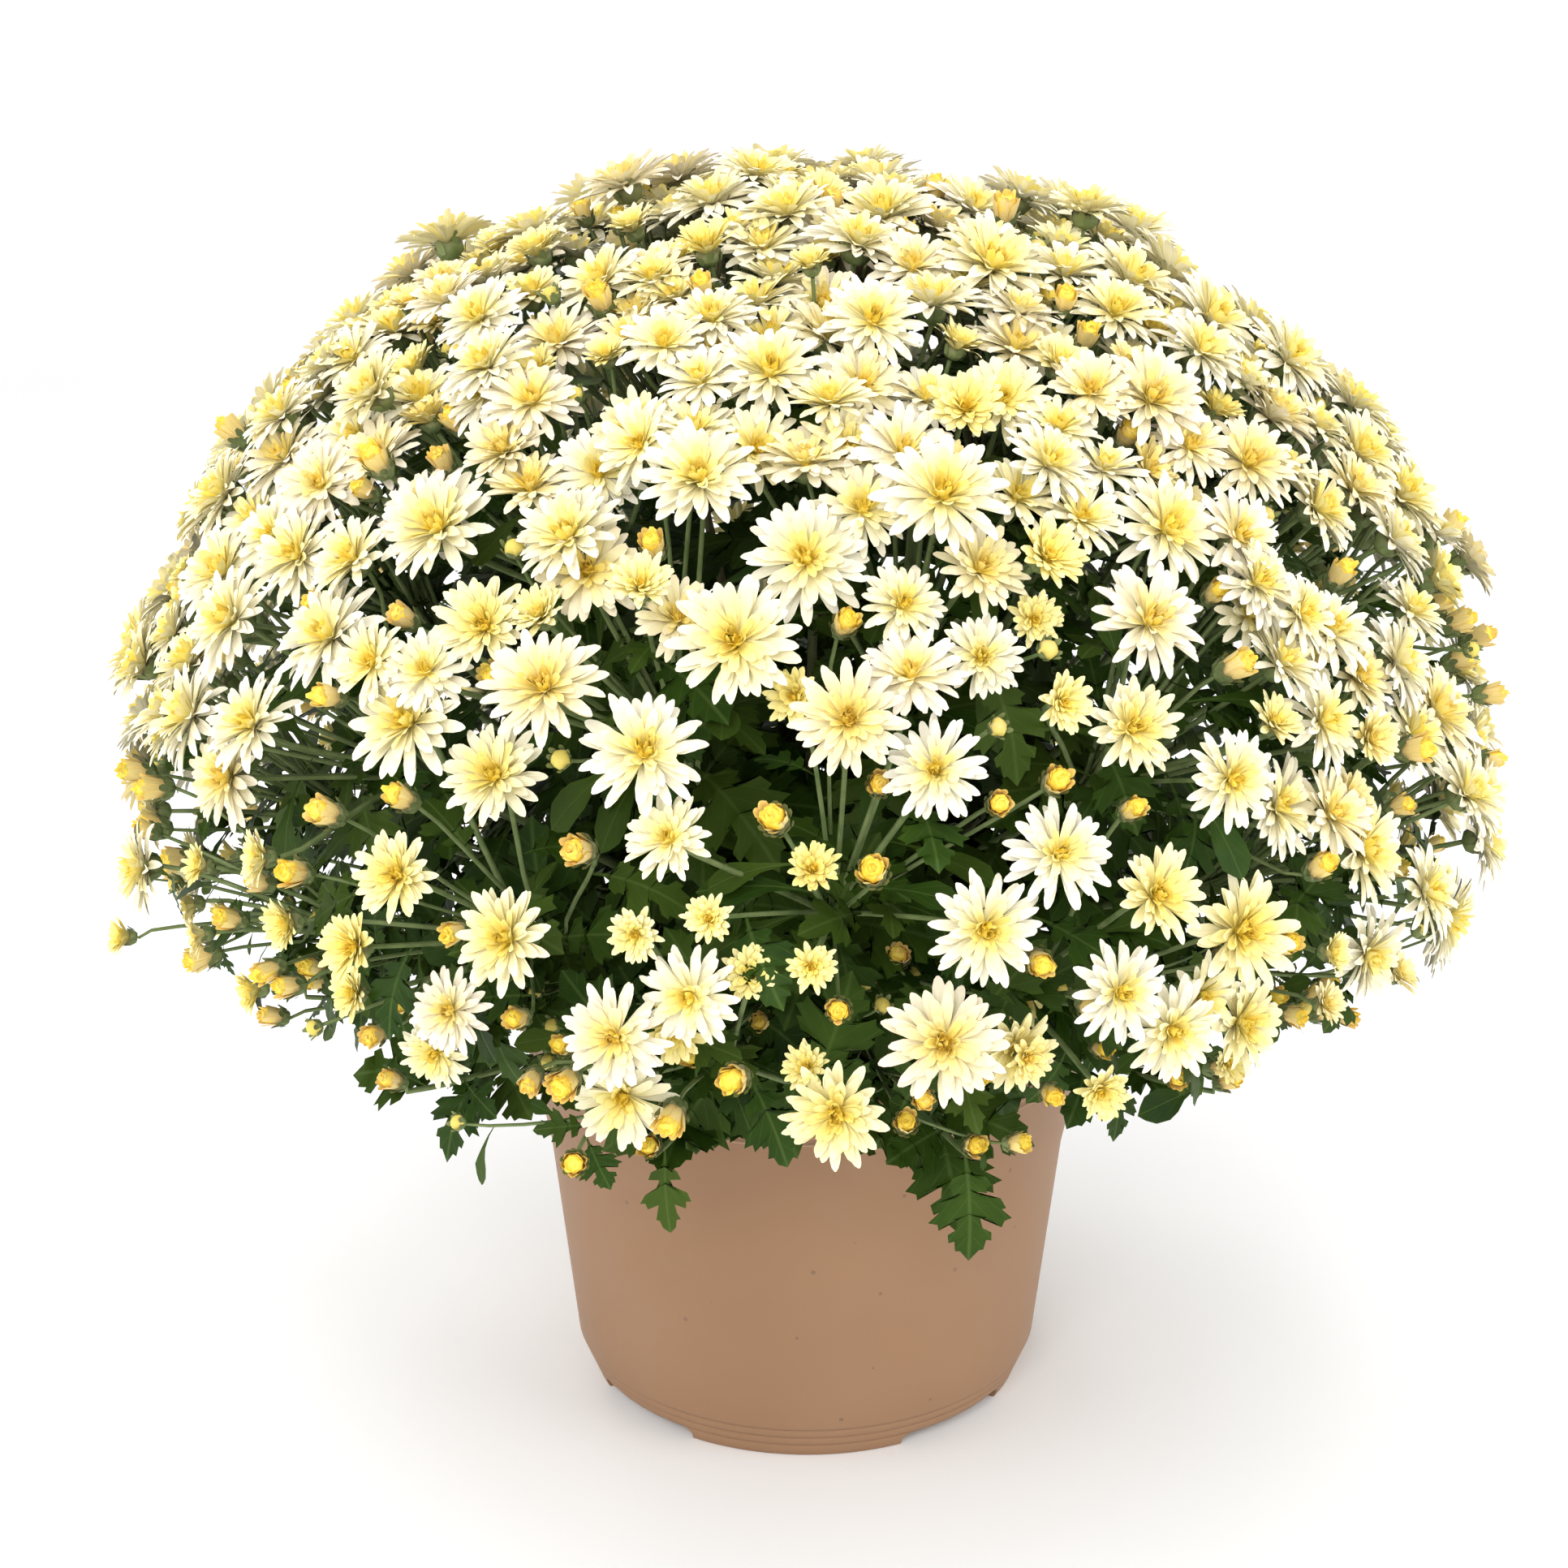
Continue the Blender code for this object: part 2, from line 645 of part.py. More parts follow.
def build_pot():
    """The pot: a tapered wall, fine ridges under the rim, grooves over the foot, and slots in the foot."""
    lip_bottom = POT_HEIGHT - RIM_LIP_DEPTH
    profile = [
        (POT_FOOT_RADIUS, 0.0),
        *beads(GROOVES, -GROOVE_DEPTH),
        POT_HEEL,
        POT_SHOULDER,
        *beads(RIDGES, RIDGE_HEIGHT),
        (outer_radius(lip_bottom), lip_bottom),
        (POT_RIM_RADIUS, lip_bottom + RIM_LIP_CHAMFER),
        (POT_RIM_RADIUS, POT_HEIGHT),
        *inner_wall(),
        (0.0, POT_FLOOR[1]),
        (0.0, POT_FLOOR[0]),
        (POT_FOOT_RADIUS - POT_FOOT_WALL, POT_FLOOR[0]),
        (POT_FOOT_RADIUS - POT_FOOT_WALL, 0.0),
    ]
    pot = turned("pot", profile, "pot")
    for k in range(SLOT_COUNT):
        turn = SLOT_TURN + math.pi / SLOT_COUNT + k * 2 * math.pi / SLOT_COUNT
        cut(pot, slot_cutter(turn))
        cut(pot, drain_cutter(turn))
    return pot


def slot_cutter(turn):
    """A wedge that opens the foot ring under the floor, over the slot's angle."""
    bm = bmesh.new()
    levels = ((-CUTTER_SPARE, 1.0), (SLOT_HEIGHT * SLOT_SPRING, 1.0), (SLOT_HEIGHT, SLOT_CROWN))
    for height, share in levels:
        for radius in (POT_FOOT_RADIUS - 3 * POT_FOOT_WALL, POT_FOOT_RADIUS + 3 * POT_FOOT_WALL):
            for k in range(SLOT_CORNERS):
                angle = turn + SLOT_ANGLE * share * (k / (SLOT_CORNERS - 1) - 0.5)
                bm.verts.new((radius * math.cos(angle), radius * math.sin(angle), height))
    bmesh.ops.convex_hull(bm, input=bm.verts[:])
    bmesh.ops.delete(bm, geom=[v for v in bm.verts if not v.link_faces], context="VERTS")
    return add_object("slot_cutter", bm)


def drain_cutter(turn):
    """A round drain hole through the floor, behind a slot."""
    bm = bmesh.new()
    middle_height = sum(POT_FLOOR) / 2
    place = Matrix.Translation((DRAIN_CIRCLE * math.cos(turn), DRAIN_CIRCLE * math.sin(turn), middle_height))
    bmesh.ops.create_cone(
        bm,
        cap_ends=True,
        segments=DRAIN_SIDES,
        radius1=DRAIN_RADIUS,
        radius2=DRAIN_RADIUS,
        depth=POT_FLOOR[1] - POT_FLOOR[0] + 2 * CUTTER_SPARE,
        matrix=place,
    )
    return add_object("drain_cutter", bm)


def cut(obj, cutter):
    """Cuts one object from another for good."""
    modifier = obj.modifiers.new("cut", "BOOLEAN")
    modifier.operation = "DIFFERENCE"
    modifier.object = cutter
    graph = bpy.context.evaluated_depsgraph_get()
    mesh = bpy.data.meshes.new_from_object(obj.evaluated_get(graph))
    obj.modifiers.clear()
    obj.data = mesh
    bpy.data.objects.remove(cutter, do_unlink=True)


def build_soil():
    """The potting soil: it fills the pot up to its surface, with one plain hole for the crown."""
    wall = [(radius - FIT_GAP, height) for radius, height in inner_wall()[1:3]]
    floor = POT_FLOOR[1] + FIT_GAP
    hole_floor = CROWN_CENTRE.z - CROWN_DEPTH - FIT_GAP
    profile = [
        (0.0, floor),
        (outer_radius(floor) - POT_WALL - FIT_GAP, floor),
        *reversed(wall),
        (outer_radius(SOIL_TOP - SOIL_EDGE) - POT_WALL - FIT_GAP, SOIL_TOP - SOIL_EDGE),
        (outer_radius(SOIL_TOP) - POT_WALL - SOIL_EDGE_WIDTH, SOIL_TOP),
        (SOIL_HOLE_RADIUS, SOIL_TOP + SOIL_CROWNING),
        (SOIL_HOLE_RADIUS, hole_floor),
        (0.0, hole_floor),
    ]
    return turned("soil", profile, "soil")


def shade(obj):
    """Smooth shading with hard edges kept at the corners."""
    obj.data.shade_smooth()
    obj.data.set_sharp_from_angle(angle=SHARP_ANGLE)


def main():
    clear_scene()
    sprays = place_sprays()
    draw = random.Random(SITE_SEED + 1)
    for index, spray in enumerate(sprays):
        build_spray(f"spray_{index + 1:02d}", spray, draw)
    draw = random.Random(SITE_SEED + 2)
    for index in range(SHOOTS):
        build_shoot(f"skirt_shoot_{index + 1:02d}", index, draw)
    directions = [place_stem(spray)[0] for spray in sprays]
    directions += [direction_of(shoot_azimuth(index), math.pi / 2) for index in range(SHOOTS)]
    build_crown(directions)
    shade(build_pot())
    build_soil()


main()
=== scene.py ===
"""Looks of the pot chrysanthemum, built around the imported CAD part, in metres, +Z up."""

import math
import random

import bmesh
import bpy
import numpy as np
from mathutils import Matrix, Vector, noise


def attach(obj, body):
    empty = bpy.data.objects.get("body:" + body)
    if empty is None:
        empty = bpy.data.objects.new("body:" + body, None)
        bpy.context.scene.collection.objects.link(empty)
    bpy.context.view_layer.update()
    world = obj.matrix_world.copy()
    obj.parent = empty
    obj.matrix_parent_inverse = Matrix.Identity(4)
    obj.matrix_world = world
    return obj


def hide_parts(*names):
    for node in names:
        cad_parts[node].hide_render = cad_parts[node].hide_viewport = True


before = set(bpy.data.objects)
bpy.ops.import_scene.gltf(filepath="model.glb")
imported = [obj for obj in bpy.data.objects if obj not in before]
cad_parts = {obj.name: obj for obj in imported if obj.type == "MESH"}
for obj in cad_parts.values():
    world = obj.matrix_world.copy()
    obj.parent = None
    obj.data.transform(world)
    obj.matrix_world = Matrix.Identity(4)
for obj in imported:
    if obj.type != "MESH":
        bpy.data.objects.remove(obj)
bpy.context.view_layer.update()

SCENE = bpy.context.scene
UP = Vector((0.0, 0.0, 1.0))
GOLDEN_ANGLE = math.pi * (3 - math.sqrt(5))

# Layout, the same as the CAD part's
POT_HEIGHT = 0.160
POT_RIM_RADIUS = 0.1165
SOIL_TOP = 0.140
CROWN_CENTRE = Vector((0.0, 0.0, 0.152))
CROWN_REACH = 0.017
FIT_GAP = 0.0003
RIDGES = (0.1411, 0.1443, 0.1475)
GROOVES = (0.0054, 0.0095, 0.0136)
DOME_RADIUS = 0.256
DOME_EQUATOR = 0.262
DOME_RISE = 0.215
DOME_DROP = 0.150
DOME_LOWEST = math.radians(-24)
DOME_STEPS = 400
SITES = 340
SITE_SEED = 34
SITE_JITTER = 0.0032
SPRAYS = 40
SPRAY_PHASE = 1.3
SPRAY_PULL = 0.06
SPRAY_LIFT = 0.0035
SPRAY_SINK = 0.0045
SPRAY_REACH = 0.057
HUB_SHARE = 0.66
STEM_UPRIGHT = 0.80
STEM_ARCH = 0.45
BLOOM_RADIUS = (0.0118, 0.0185)
BLOOM_GAP = 0.0003
BLOOM_TILT = math.radians(8)
BLOOM_LIFT = 0.5
BUD_BAND = (0.215, 0.300)
BUD_SHARES = (0.40, 0.10)
SHOOTS = 12
SHOOT_CLEARANCE = 0.0075
SHOOT_REACH = 0.178
SHOOT_TIP_HEIGHT = 0.174

# Camera, fitted to the ellipses of the pot's rings
CAMERA_PLACE = (-0.009, -0.9265, 0.5207)
CAMERA_DOWN = math.radians(16.7)
CAMERA_VIEW = math.radians(35.0)


def jitter(draw, size):
    """A random vector, each of its numbers up to the size."""
    return Vector([draw.uniform(-size, size) for _ in range(3)])


def direction_of(azimuth, lean):
    """A unit vector that leans from upright towards the azimuth."""
    return Vector((math.cos(azimuth) * math.sin(lean), math.sin(azimuth) * math.sin(lean), math.cos(lean)))


def dome_point(turn, azimuth):
    """A point of the dome and its outward normal. The turn is 0 at the equator and 90 degrees at the top."""
    rise = DOME_RISE if turn > 0 else DOME_DROP
    out = Vector((math.cos(azimuth), math.sin(azimuth), 0.0))
    point = out * (DOME_RADIUS * math.cos(turn)) + UP * (DOME_EQUATOR + rise * math.sin(turn))
    normal = out * (math.cos(turn) / DOME_RADIUS) + UP * (math.sin(turn) / rise)
    return point, normal.normalized()


def dome_turns(count):
    """Turns of count points, so that each stands for the same area of the dome, from the top down."""
    turns = [math.pi / 2 + (DOME_LOWEST - math.pi / 2) * i / DOME_STEPS for i in range(DOME_STEPS + 1)]
    area = [0.0]
    for low, high in zip(turns, turns[1:]):
        a, b = dome_point(low, 0.0)[0], dome_point(high, 0.0)[0]
        area.append(area[-1] + (b - a).length * (a.x + b.x))
    return np.interp([area[-1] * (i + 0.5) / count for i in range(count)], area, turns)


def spiral(count, phase):
    """(point, normal) of count evenly spread places on the dome, on a golden-angle spiral."""
    return [dome_point(turn, phase + i * GOLDEN_ANGLE) for i, turn in enumerate(dome_turns(count))]


def place_sprays():
    """The sprays: each has a centre on the dome and its sites, which hold a bloom or a bud."""
    draw = random.Random(SITE_SEED)
    sprays = [
        {"centre": point, "normal": normal, "sites": []} for point, normal in spiral(SPRAYS, SPRAY_PHASE)
    ]
    for point, normal in spiral(SITES, 0.0):
        point = point + jitter(draw, SITE_JITTER)
        spray = min(sprays, key=lambda s: (s["centre"] - point).length)
        away = point - spray["centre"]
        share = min(1.0, away.length / SPRAY_REACH)
        lift = SPRAY_LIFT - (SPRAY_LIFT + SPRAY_SINK) * share * share
        tilt = jitter(draw, 1) * math.tan(BLOOM_TILT)
        spray["sites"].append({
            "point": spray["centre"] + away * (1 - SPRAY_PULL) + normal * lift,
            "normal": ((normal + UP * BLOOM_LIFT).normalized() + tilt).normalized(),
            "turn": draw.uniform(0, math.tau),
            "bud": draw.random() < np.interp(point.z, BUD_BAND, BUD_SHARES),
        })
    sites = [site for spray in sprays for site in spray["sites"]]
    for site in sites:
        nearest = min((other["point"] - site["point"]).length for other in sites if other is not site)
        site["radius"] = min(BLOOM_RADIUS[1], max(BLOOM_RADIUS[0], nearest / 2 - BLOOM_GAP))
    return sprays


def place_stem(spray):
    """Root direction, root, hub and end direction of a spray's stem, which arches out from the crown."""
    middle = sum((site["point"] for site in spray["sites"]), Vector()) / len(spray["sites"])
    hub = CROWN_CENTRE + (middle - CROWN_CENTRE) * HUB_SHARE
    away = hub - CROWN_CENTRE
    azimuth = math.atan2(away.y, away.x)
    lean = math.acos(away.normalized().z) * STEM_UPRIGHT
    start = direction_of(azimuth, lean)
    root = CROWN_CENTRE + start * (CROWN_REACH + FIT_GAP)
    knee = (root + start * (away.length * STEM_ARCH)) * 0.5 + (root + hub) * 0.25
    return start, root, hub, (middle - knee).normalized()


def add_object(name, data):
    """A new object of the scene that holds the data."""
    obj = bpy.data.objects.new(name, data)
    SCENE.collection.objects.link(obj)
    return obj


# Mesh building. A template is a small mesh as arrays, and a heap joins many placed templates into one object.

IN_PLACE = np.eye(4)


def template_of(points, shape_uv, tone, quads, tris=()):
    """A template: points, their places on the shape map, one tone for all of them, triangles and quads."""
    tones = np.full((points.size // 3, 2), tone)
    return points.reshape(-1, 3), shape_uv.reshape(-1, 2), tones, np.array(tris, int).reshape(-1, 3), quads


class Heap:
    """Placed templates that become one template or one object."""

    def __init__(self):
        self.placed = []
        self.count = 0

    def add(self, template, matrix=IN_PLACE, tone=(0.0, 0.0)):
        points, shape_uv, tones, tris, quads = template
        points = points @ matrix[:3, :3].T + matrix[:3, 3]
        tones = tones + np.asarray(tone)
        self.placed.append((points, shape_uv, tones, tris + self.count, quads + self.count))
        self.count += len(points)

    def as_template(self):
        return [np.concatenate(arrays) for arrays in zip(*self.placed)]

    def build(self, name, material):
        """The heap as an object of the scene."""
        points, shape_uv, tones, tris, quads = self.as_template()
        corners = np.concatenate([tris.reshape(-1), quads.reshape(-1)]).astype(np.int32)
        sides = np.repeat((3, 4), (len(tris), len(quads)))
        mesh = bpy.data.meshes.new(name)
        mesh.vertices.add(len(points))
        mesh.vertices.foreach_set("co", points.astype(np.float32).reshape(-1))
        mesh.loops.add(len(corners))
        mesh.loops.foreach_set("vertex_index", corners)
        mesh.polygons.add(len(sides))
        mesh.polygons.foreach_set("loop_start", (np.cumsum(sides) - sides).astype(np.int32))
        mesh.update(calc_edges=True)
        for layer_name, values in (("shape", shape_uv), ("tone", tones)):
            layer = mesh.uv_layers.new(name=layer_name)
            layer.uv.foreach_set("vector", values[corners].astype(np.float32).reshape(-1))
        mesh.shade_smooth()
        mesh.materials.append(material)
        return add_object(name, mesh)


def placing(point, normal, turn, scale):
    """A 4x4 array that takes a template's Z axis to the normal and its origin to the point."""
    lean = UP.rotation_difference(Vector(normal)).to_matrix().to_4x4()
    return np.array(Matrix.Translation(point) @ lean @ Matrix.Rotation(turn, 4, "Z") @ Matrix.Scale(scale, 4))


def grid_quads(rows, columns, closed=False):
    """Quads of a grid of points, row after row, and joined round where closed."""
    quads = []
    for low in range(0, (rows - 1) * columns, columns):
        for c in range(columns if closed else columns - 1):
            after = (c + 1) % columns
            quads.append((low + c, low + after, low + columns + after, low + columns + c))
    return np.array(quads)


def round_uv(rows, columns):
    """Places on the shape map of a grid that closes round: across its columns and along its rows."""
    return np.stack(np.meshgrid(np.arange(columns) / columns, np.linspace(0, 1, rows)), -1)


# Petals and blooms

# Forms of a petal: (share of its length, share of its width) from its base to its rounded tip
FULL_PETAL = ((0.00, 0.36), (0.34, 0.70), (0.62, 1.00), (0.82, 0.90), (0.94, 0.58), (1.00, 0.16))
LONG_PETAL = ((0.00, 0.38), (0.42, 0.80), (0.72, 1.00), (0.92, 0.66), (1.00, 0.18))
INNER_PETAL = ((0.00, 0.50), (0.50, 0.90), (0.85, 0.95), (1.00, 0.42))
SMALL_PETAL = ((0.00, 0.60), (0.60, 1.00), (1.00, 0.45))
# Added to a petal's tone where it is flushed with peach
PEACH_MARK = 2.0


def petal(length, width, rise, curl, cup, age, form, mark, columns):
    """One petal as a template along +X.

    It leaves the origin at the angle rise, bends down by curl on its way, and the cup lifts its edges.
    """
    along, share = np.array(form).T
    slope = rise - curl * along ** 1.6
    bend, step = (slope[1:] + slope[:-1]) / 2, np.diff(along) * length
    x = np.concatenate([[0], np.cumsum(np.cos(bend) * step)])
    z = np.concatenate([[0], np.cumsum(np.sin(bend) * step)])
    half = width / 2 * share
    across = np.linspace(-1, 1, columns)
    lift = cup * half[:, None] * across ** 2
    points = np.empty((len(along), columns, 3))
    points[..., 0] = x[:, None] - np.sin(slope)[:, None] * lift
    points[..., 1] = half[:, None] * across
    points[..., 2] = z[:, None] + np.cos(slope)[:, None] * lift
    shape_uv = np.stack(np.meshgrid((across + 1) / 2, along), -1)
    return template_of(points, shape_uv, (age, mark), grid_quads(len(along), columns))


# Rings of petals of a head of radius 1, open and half open: count, length, width, rise and curl in degrees,
# radius and height of the base, age, form
BLOOM_RINGS = (
    (15, 1.00, 0.205, 10, 22, 0.080, 0.000, 0.00, FULL_PETAL),
    (14, 0.92, 0.205, 21, 22, 0.080, 0.020, 0.04, LONG_PETAL),
    (13, 0.80, 0.190, 33, 20, 0.080, 0.040, 0.14, LONG_PETAL),
    (11, 0.65, 0.175, 45, 14, 0.075, 0.060, 0.30, INNER_PETAL),
    (9, 0.50, 0.155, 57, -4, 0.075, 0.070, 0.50, INNER_PETAL),
    (8, 0.40, 0.135, 70, -30, 0.075, 0.080, 0.68, SMALL_PETAL),
    (6, 0.34, 0.125, 80, -38, 0.050, 0.085, 0.84, SMALL_PETAL),
    (5, 0.31, 0.110, 86, -26, 0.018, 0.090, 1.00, SMALL_PETAL),
)
CUP_RINGS = (
    (10, 1.90, 0.68, 72, -22, 0.52, 0.0, 0.62, INNER_PETAL),
    (9, 2.08, 0.60, 78, -18, 0.40, 0.0, 0.74, INNER_PETAL),
    (8, 2.20, 0.52, 83, -12, 0.26, 0.0, 0.84, INNER_PETAL),
    (5, 2.28, 0.42, 88, -4, 0.12, 0.0, 0.94, INNER_PETAL),
)
# Ranges of the draws that vary each petal: step round its ring, length, width, rise, curl, cup, age
BLOOM_SPANS = (-0.26, 0.26), (-0.11, 0.07), (-0.10, 0.12), (-7, 7), (-14, 20), (-0.15, 0.30), (-0.05, 0.05)
CUP_SPANS = (-0.2, 0.2), (-0.14, 0.06), (-0.12, 0.12), (-5, 4), (-6, 14), (-0.2, 0.2), (-0.06, 0.06)
# Profiles of the golden cores that close a head behind its innermost petals, as (radius, height)
HEART = ((0.105, 0.06), (0.115, 0.15), (0.075, 0.22), (0.01, 0.245))
CUP_CORE = ((0.64, 0.70), (0.72, 1.30), (0.58, 1.75), (0.34, 1.98), (0.05, 2.06))
CORE_AGE = 0.92
# What a wholly shut head adds to its petals' rise in degrees, takes off their length, and adds to their age
CLOSING_RISE, CLOSING_LENGTH, CLOSING_AGE = 44, 0.24, 0.50
# The next plainer form of a petal, for heads that mostly hide under others
PLAINER = {FULL_PETAL: LONG_PETAL, LONG_PETAL: INNER_PETAL}


def flower(seed, openness=1.0, plain=False, cup=False):
    """A head of petals as a template, facing +Z, its base at the origin. At openness 0 it is wholly shut.

    A cup is a half-open head, a brush of upright petals, peach outside and golden inside.
    """
    draw = random.Random(seed)
    heap = Heap()
    shut = 1 - openness
    rings, spans, hollow = (CUP_RINGS, CUP_SPANS, 0.50) if cup else (BLOOM_RINGS, BLOOM_SPANS, 0.32)
    for ring, (count, length, width, rise, curl, base, height, age, form) in enumerate(rings):
        shift = draw.uniform(0, math.tau)
        count -= plain
        for k in range(count):
            step, longer, wider, steeper, bend, deeper, older = (draw.uniform(*span) for span in spans)
            steeper *= 1 if cup else 1 + age
            one = petal(
                length * (1 - CLOSING_LENGTH * shut) * (1 + longer),
                width * (1 + wider),
                math.radians(rise + CLOSING_RISE * shut * (1 - rise / 95) + steeper),
                math.radians(curl * (1 - 0.8 * shut) + bend),
                hollow + deeper,
                age + CLOSING_AGE * shut * (1 - age) + older,
                PLAINER.get(form, form) if plain else form,
                PEACH_MARK if cup and not ring else 0.0,
                2 if plain or cup and ring else 3,
            )
            roll = 0.0 if cup else draw.uniform(-0.24, 0.24) * (1 + 1.2 * age)
            place = Matrix.Rotation(shift + (k + step) * math.tau / count, 4, "Z")
            place = place @ Matrix.Translation((base, 0, height)) @ Matrix.Rotation(roll, 4, "X")
            heap.add(one, np.array(place))
    heap.add(lathe(CUP_CORE, 7, CORE_AGE) if cup else lathe(HEART, 6, CORE_AGE))
    return heap.as_template()


def lathe(profile, columns, age, folds=0, depth=0.0, twist=0.0):
    """A template turned round Z from (radius, height) rows, folded where asked, closed at its top."""
    turns = np.arange(columns) * math.tau / columns
    rows = len(profile)
    points = np.empty((rows, columns, 3))
    for r, (radius, height) in enumerate(profile):
        furl = 1 + depth * np.cos(turns * folds + r * twist)
        points[r, :, 0] = np.cos(turns) * radius * furl
        points[r, :, 1] = np.sin(turns) * radius * furl
        points[r, :, 2] = height
    top = (rows - 1) * columns
    fan = [(top, top + k, top + k + 1) for k in range(1, columns - 1)]
    return template_of(points, round_uv(rows, columns), (age, 0.0), grid_quads(rows, columns, True), fan)


CALYX_PROFILE = ((0.12, -1.0), (0.72, -0.80), (1.0, -0.38), (1.0, 0.0))
BUD_PROFILE = ((0.45, 0.25), (0.88, 0.62), (1.0, 1.05), (0.84, 1.45), (0.50, 1.74), (0.08, 1.86))
BUD_AGE = 1.34


def calyx(radius, depth, count, seed):
    """A green cup of overlapping bracts as a template, with its top at the origin."""
    draw = random.Random(seed)
    heap = Heap()
    heap.add(lathe([(share * radius, level * depth) for share, level in CALYX_PROFILE], 7, 0.5))
    rise, curl = math.radians(74), math.radians(14)
    for k in range(count):
        turn = (k + draw.uniform(-0.2, 0.2)) * math.tau / count
        level, age = ((-0.32, 0.35), (-0.66, 0.65))[k % 2]
        bract = petal(depth * 0.90, radius * 0.62, rise, curl, 0.25, age, SMALL_PETAL, 0.0, 2)
        place = Matrix.Rotation(turn, 4, "Z") @ Matrix.Translation((radius * 0.94, 0, depth * level))
        heap.add(bract, np.array(place))
    return heap.as_template()


def bud_ball(seed):
    """A closed bud of radius 1 with furled petals as a template, its base at the origin."""
    return lathe(BUD_PROFILE, 10, BUD_AGE, 5, 0.09, random.Random(seed).uniform(0.3, 0.6))


# Stems and leaves


def hermite(start, start_pull, end, end_pull, count):
    """Points of a smooth curve between two places, with its direction at each."""
    found = []
    for i in range(count):
        t = i / (count - 1)
        a, b = 2 * t ** 3 - 3 * t ** 2 + 1, t ** 3 - 2 * t ** 2 + t
        c, d = -2 * t ** 3 + 3 * t ** 2, t ** 3 - t ** 2
        found.append(start * a + start_pull * b + end * c + end_pull * d)
    return found


def tube(path, thick, thin, sides=5):
    """A stem along a path as a template."""
    rows = len(path)
    radii = np.linspace(thick, thin, rows)
    tangents = [(path[min(i + 1, rows - 1)] - path[max(i - 1, 0)]).normalized() for i in range(rows)]
    across = tangents[0].orthogonal().normalized()
    points = np.empty((rows, sides, 3))
    for r, (centre, tangent) in enumerate(zip(path, tangents)):
        across = (across - tangent * across.dot(tangent)).normalized()
        other = tangent.cross(across)
        for k in range(sides):
            turn = math.tau * k / sides
            points[r, k] = centre + (across * math.cos(turn) + other * math.sin(turn)) * radii[r]
    return template_of(points, round_uv(rows, sides), (0.0, 0.0), grid_quads(rows, sides, True))


# Half outlines of leaves from stalk to tip: each tooth and notch in hundredths of the length and half width
LOBED_EDGE = (
    (0, 4), (15, 5), (23, 16), (25, 38), (33, 52), (35, 38), (40, 42), (38, 20), (43, 34), (46, 74),
    (54, 86), (55, 72), (64, 100), (66, 78), (71, 76), (62, 38), (63, 24), (71, 30), (76, 52), (83, 50),
    (82, 38), (91, 34), (91, 22), (100, 0),
)
CUT_EDGE = (
    (0, 4), (18, 6), (28, 20), (31, 50), (40, 62), (40, 44), (40, 20), (50, 34), (56, 80), (66, 100),
    (66, 76), (73, 74), (68, 30), (78, 38), (85, 48), (86, 32), (94, 24), (100, 0),
)
SPOON_EDGE = (
    (0, 8), (20, 12), (42, 34), (60, 80), (72, 100), (86, 88), (95, 46), (100, 0),
)
# How far the midrib's points lie behind those of the edge, so that the side veins run forward
RIB_LAG = 0.24


def leaf(edge, width, droop, fold, wave, seed):
    """A leaf of length 1 as a template along +X, its upper side to +Z.

    Each half is a strip from the midrib to the edge. The tip droops, and the halves fold up along the midrib.
    """
    draw = random.Random(seed)
    edge = [(x / 100, y / 100) for x, y in edge]
    points, uv = [], []

    def put(x, y, ripple):
        rise = -droop * x * x + fold * abs(y) * (1 - 0.6 * x) - 0.9 * droop * y * y + ripple
        points.append((x * (1 - 0.25 * droop * x), y, rise))
        uv.append((0.5 + y / width, x))

    rib = np.maximum.accumulate([max(0.0, x - RIB_LAG * y * (1 - x ** 4)) for x, y in edge])
    for x in rib:
        put(float(x), 0.0, 0.0)
    for hand in (-1, 1):
        for x, y in edge:
            ripple = wave * draw.uniform(-1, 1) * y
            put(x, hand * y * width / 2 * (1 + draw.uniform(-0.05, 0.05)), ripple)
    quads = []
    for hand in (0, 1):
        first = len(edge) * (hand + 1)
        for i in range(len(edge) - 1):
            corners = (i, i + 1, first + i + 1, first + i)
            quads.append(corners if hand else corners[::-1])
    return template_of(np.array(points), np.array(uv), (0.0, 0.0), np.array(quads))


def leaf_placing(point, direction, face_up, scale):
    """A 4x4 array that lays a leaf along a direction, its upper side towards face_up."""
    direction = direction.normalized()
    side = face_up.cross(direction)
    side = side.normalized() if side.length > 1e-4 else direction.orthogonal().normalized()
    matrix = np.eye(4)
    matrix[:3, :3] = np.transpose([direction, side, direction.cross(side)]) * scale
    matrix[:3, 3] = point
    return matrix


# Materials

BAND_HALF_WIDTH = 0.0009


class Value:
    """A number in a material's node tree. Arithmetic with it adds math nodes."""

    def __init__(self, nodes, socket):
        self.nodes, self.socket = nodes, socket

    def __rsub__(self, other):
        return self.nodes.math("SUBTRACT", other, self)

    def clamp(self):
        """The same number, kept between 0 and 1 by the node that it comes from."""
        self.socket.node.use_clamp = True
        return self


OPERATORS = {
    "__add__": "ADD", "__sub__": "SUBTRACT", "__mul__": "MULTIPLY", "__truediv__": "DIVIDE",
    "__pow__": "POWER", "__gt__": "GREATER_THAN", "__lt__": "LESS_THAN", "__abs__": "ABSOLUTE",
}
for operator, operation in OPERATORS.items():
    setattr(Value, operator, lambda self, other=0.0, kind=operation: self.nodes.math(kind, self, other))


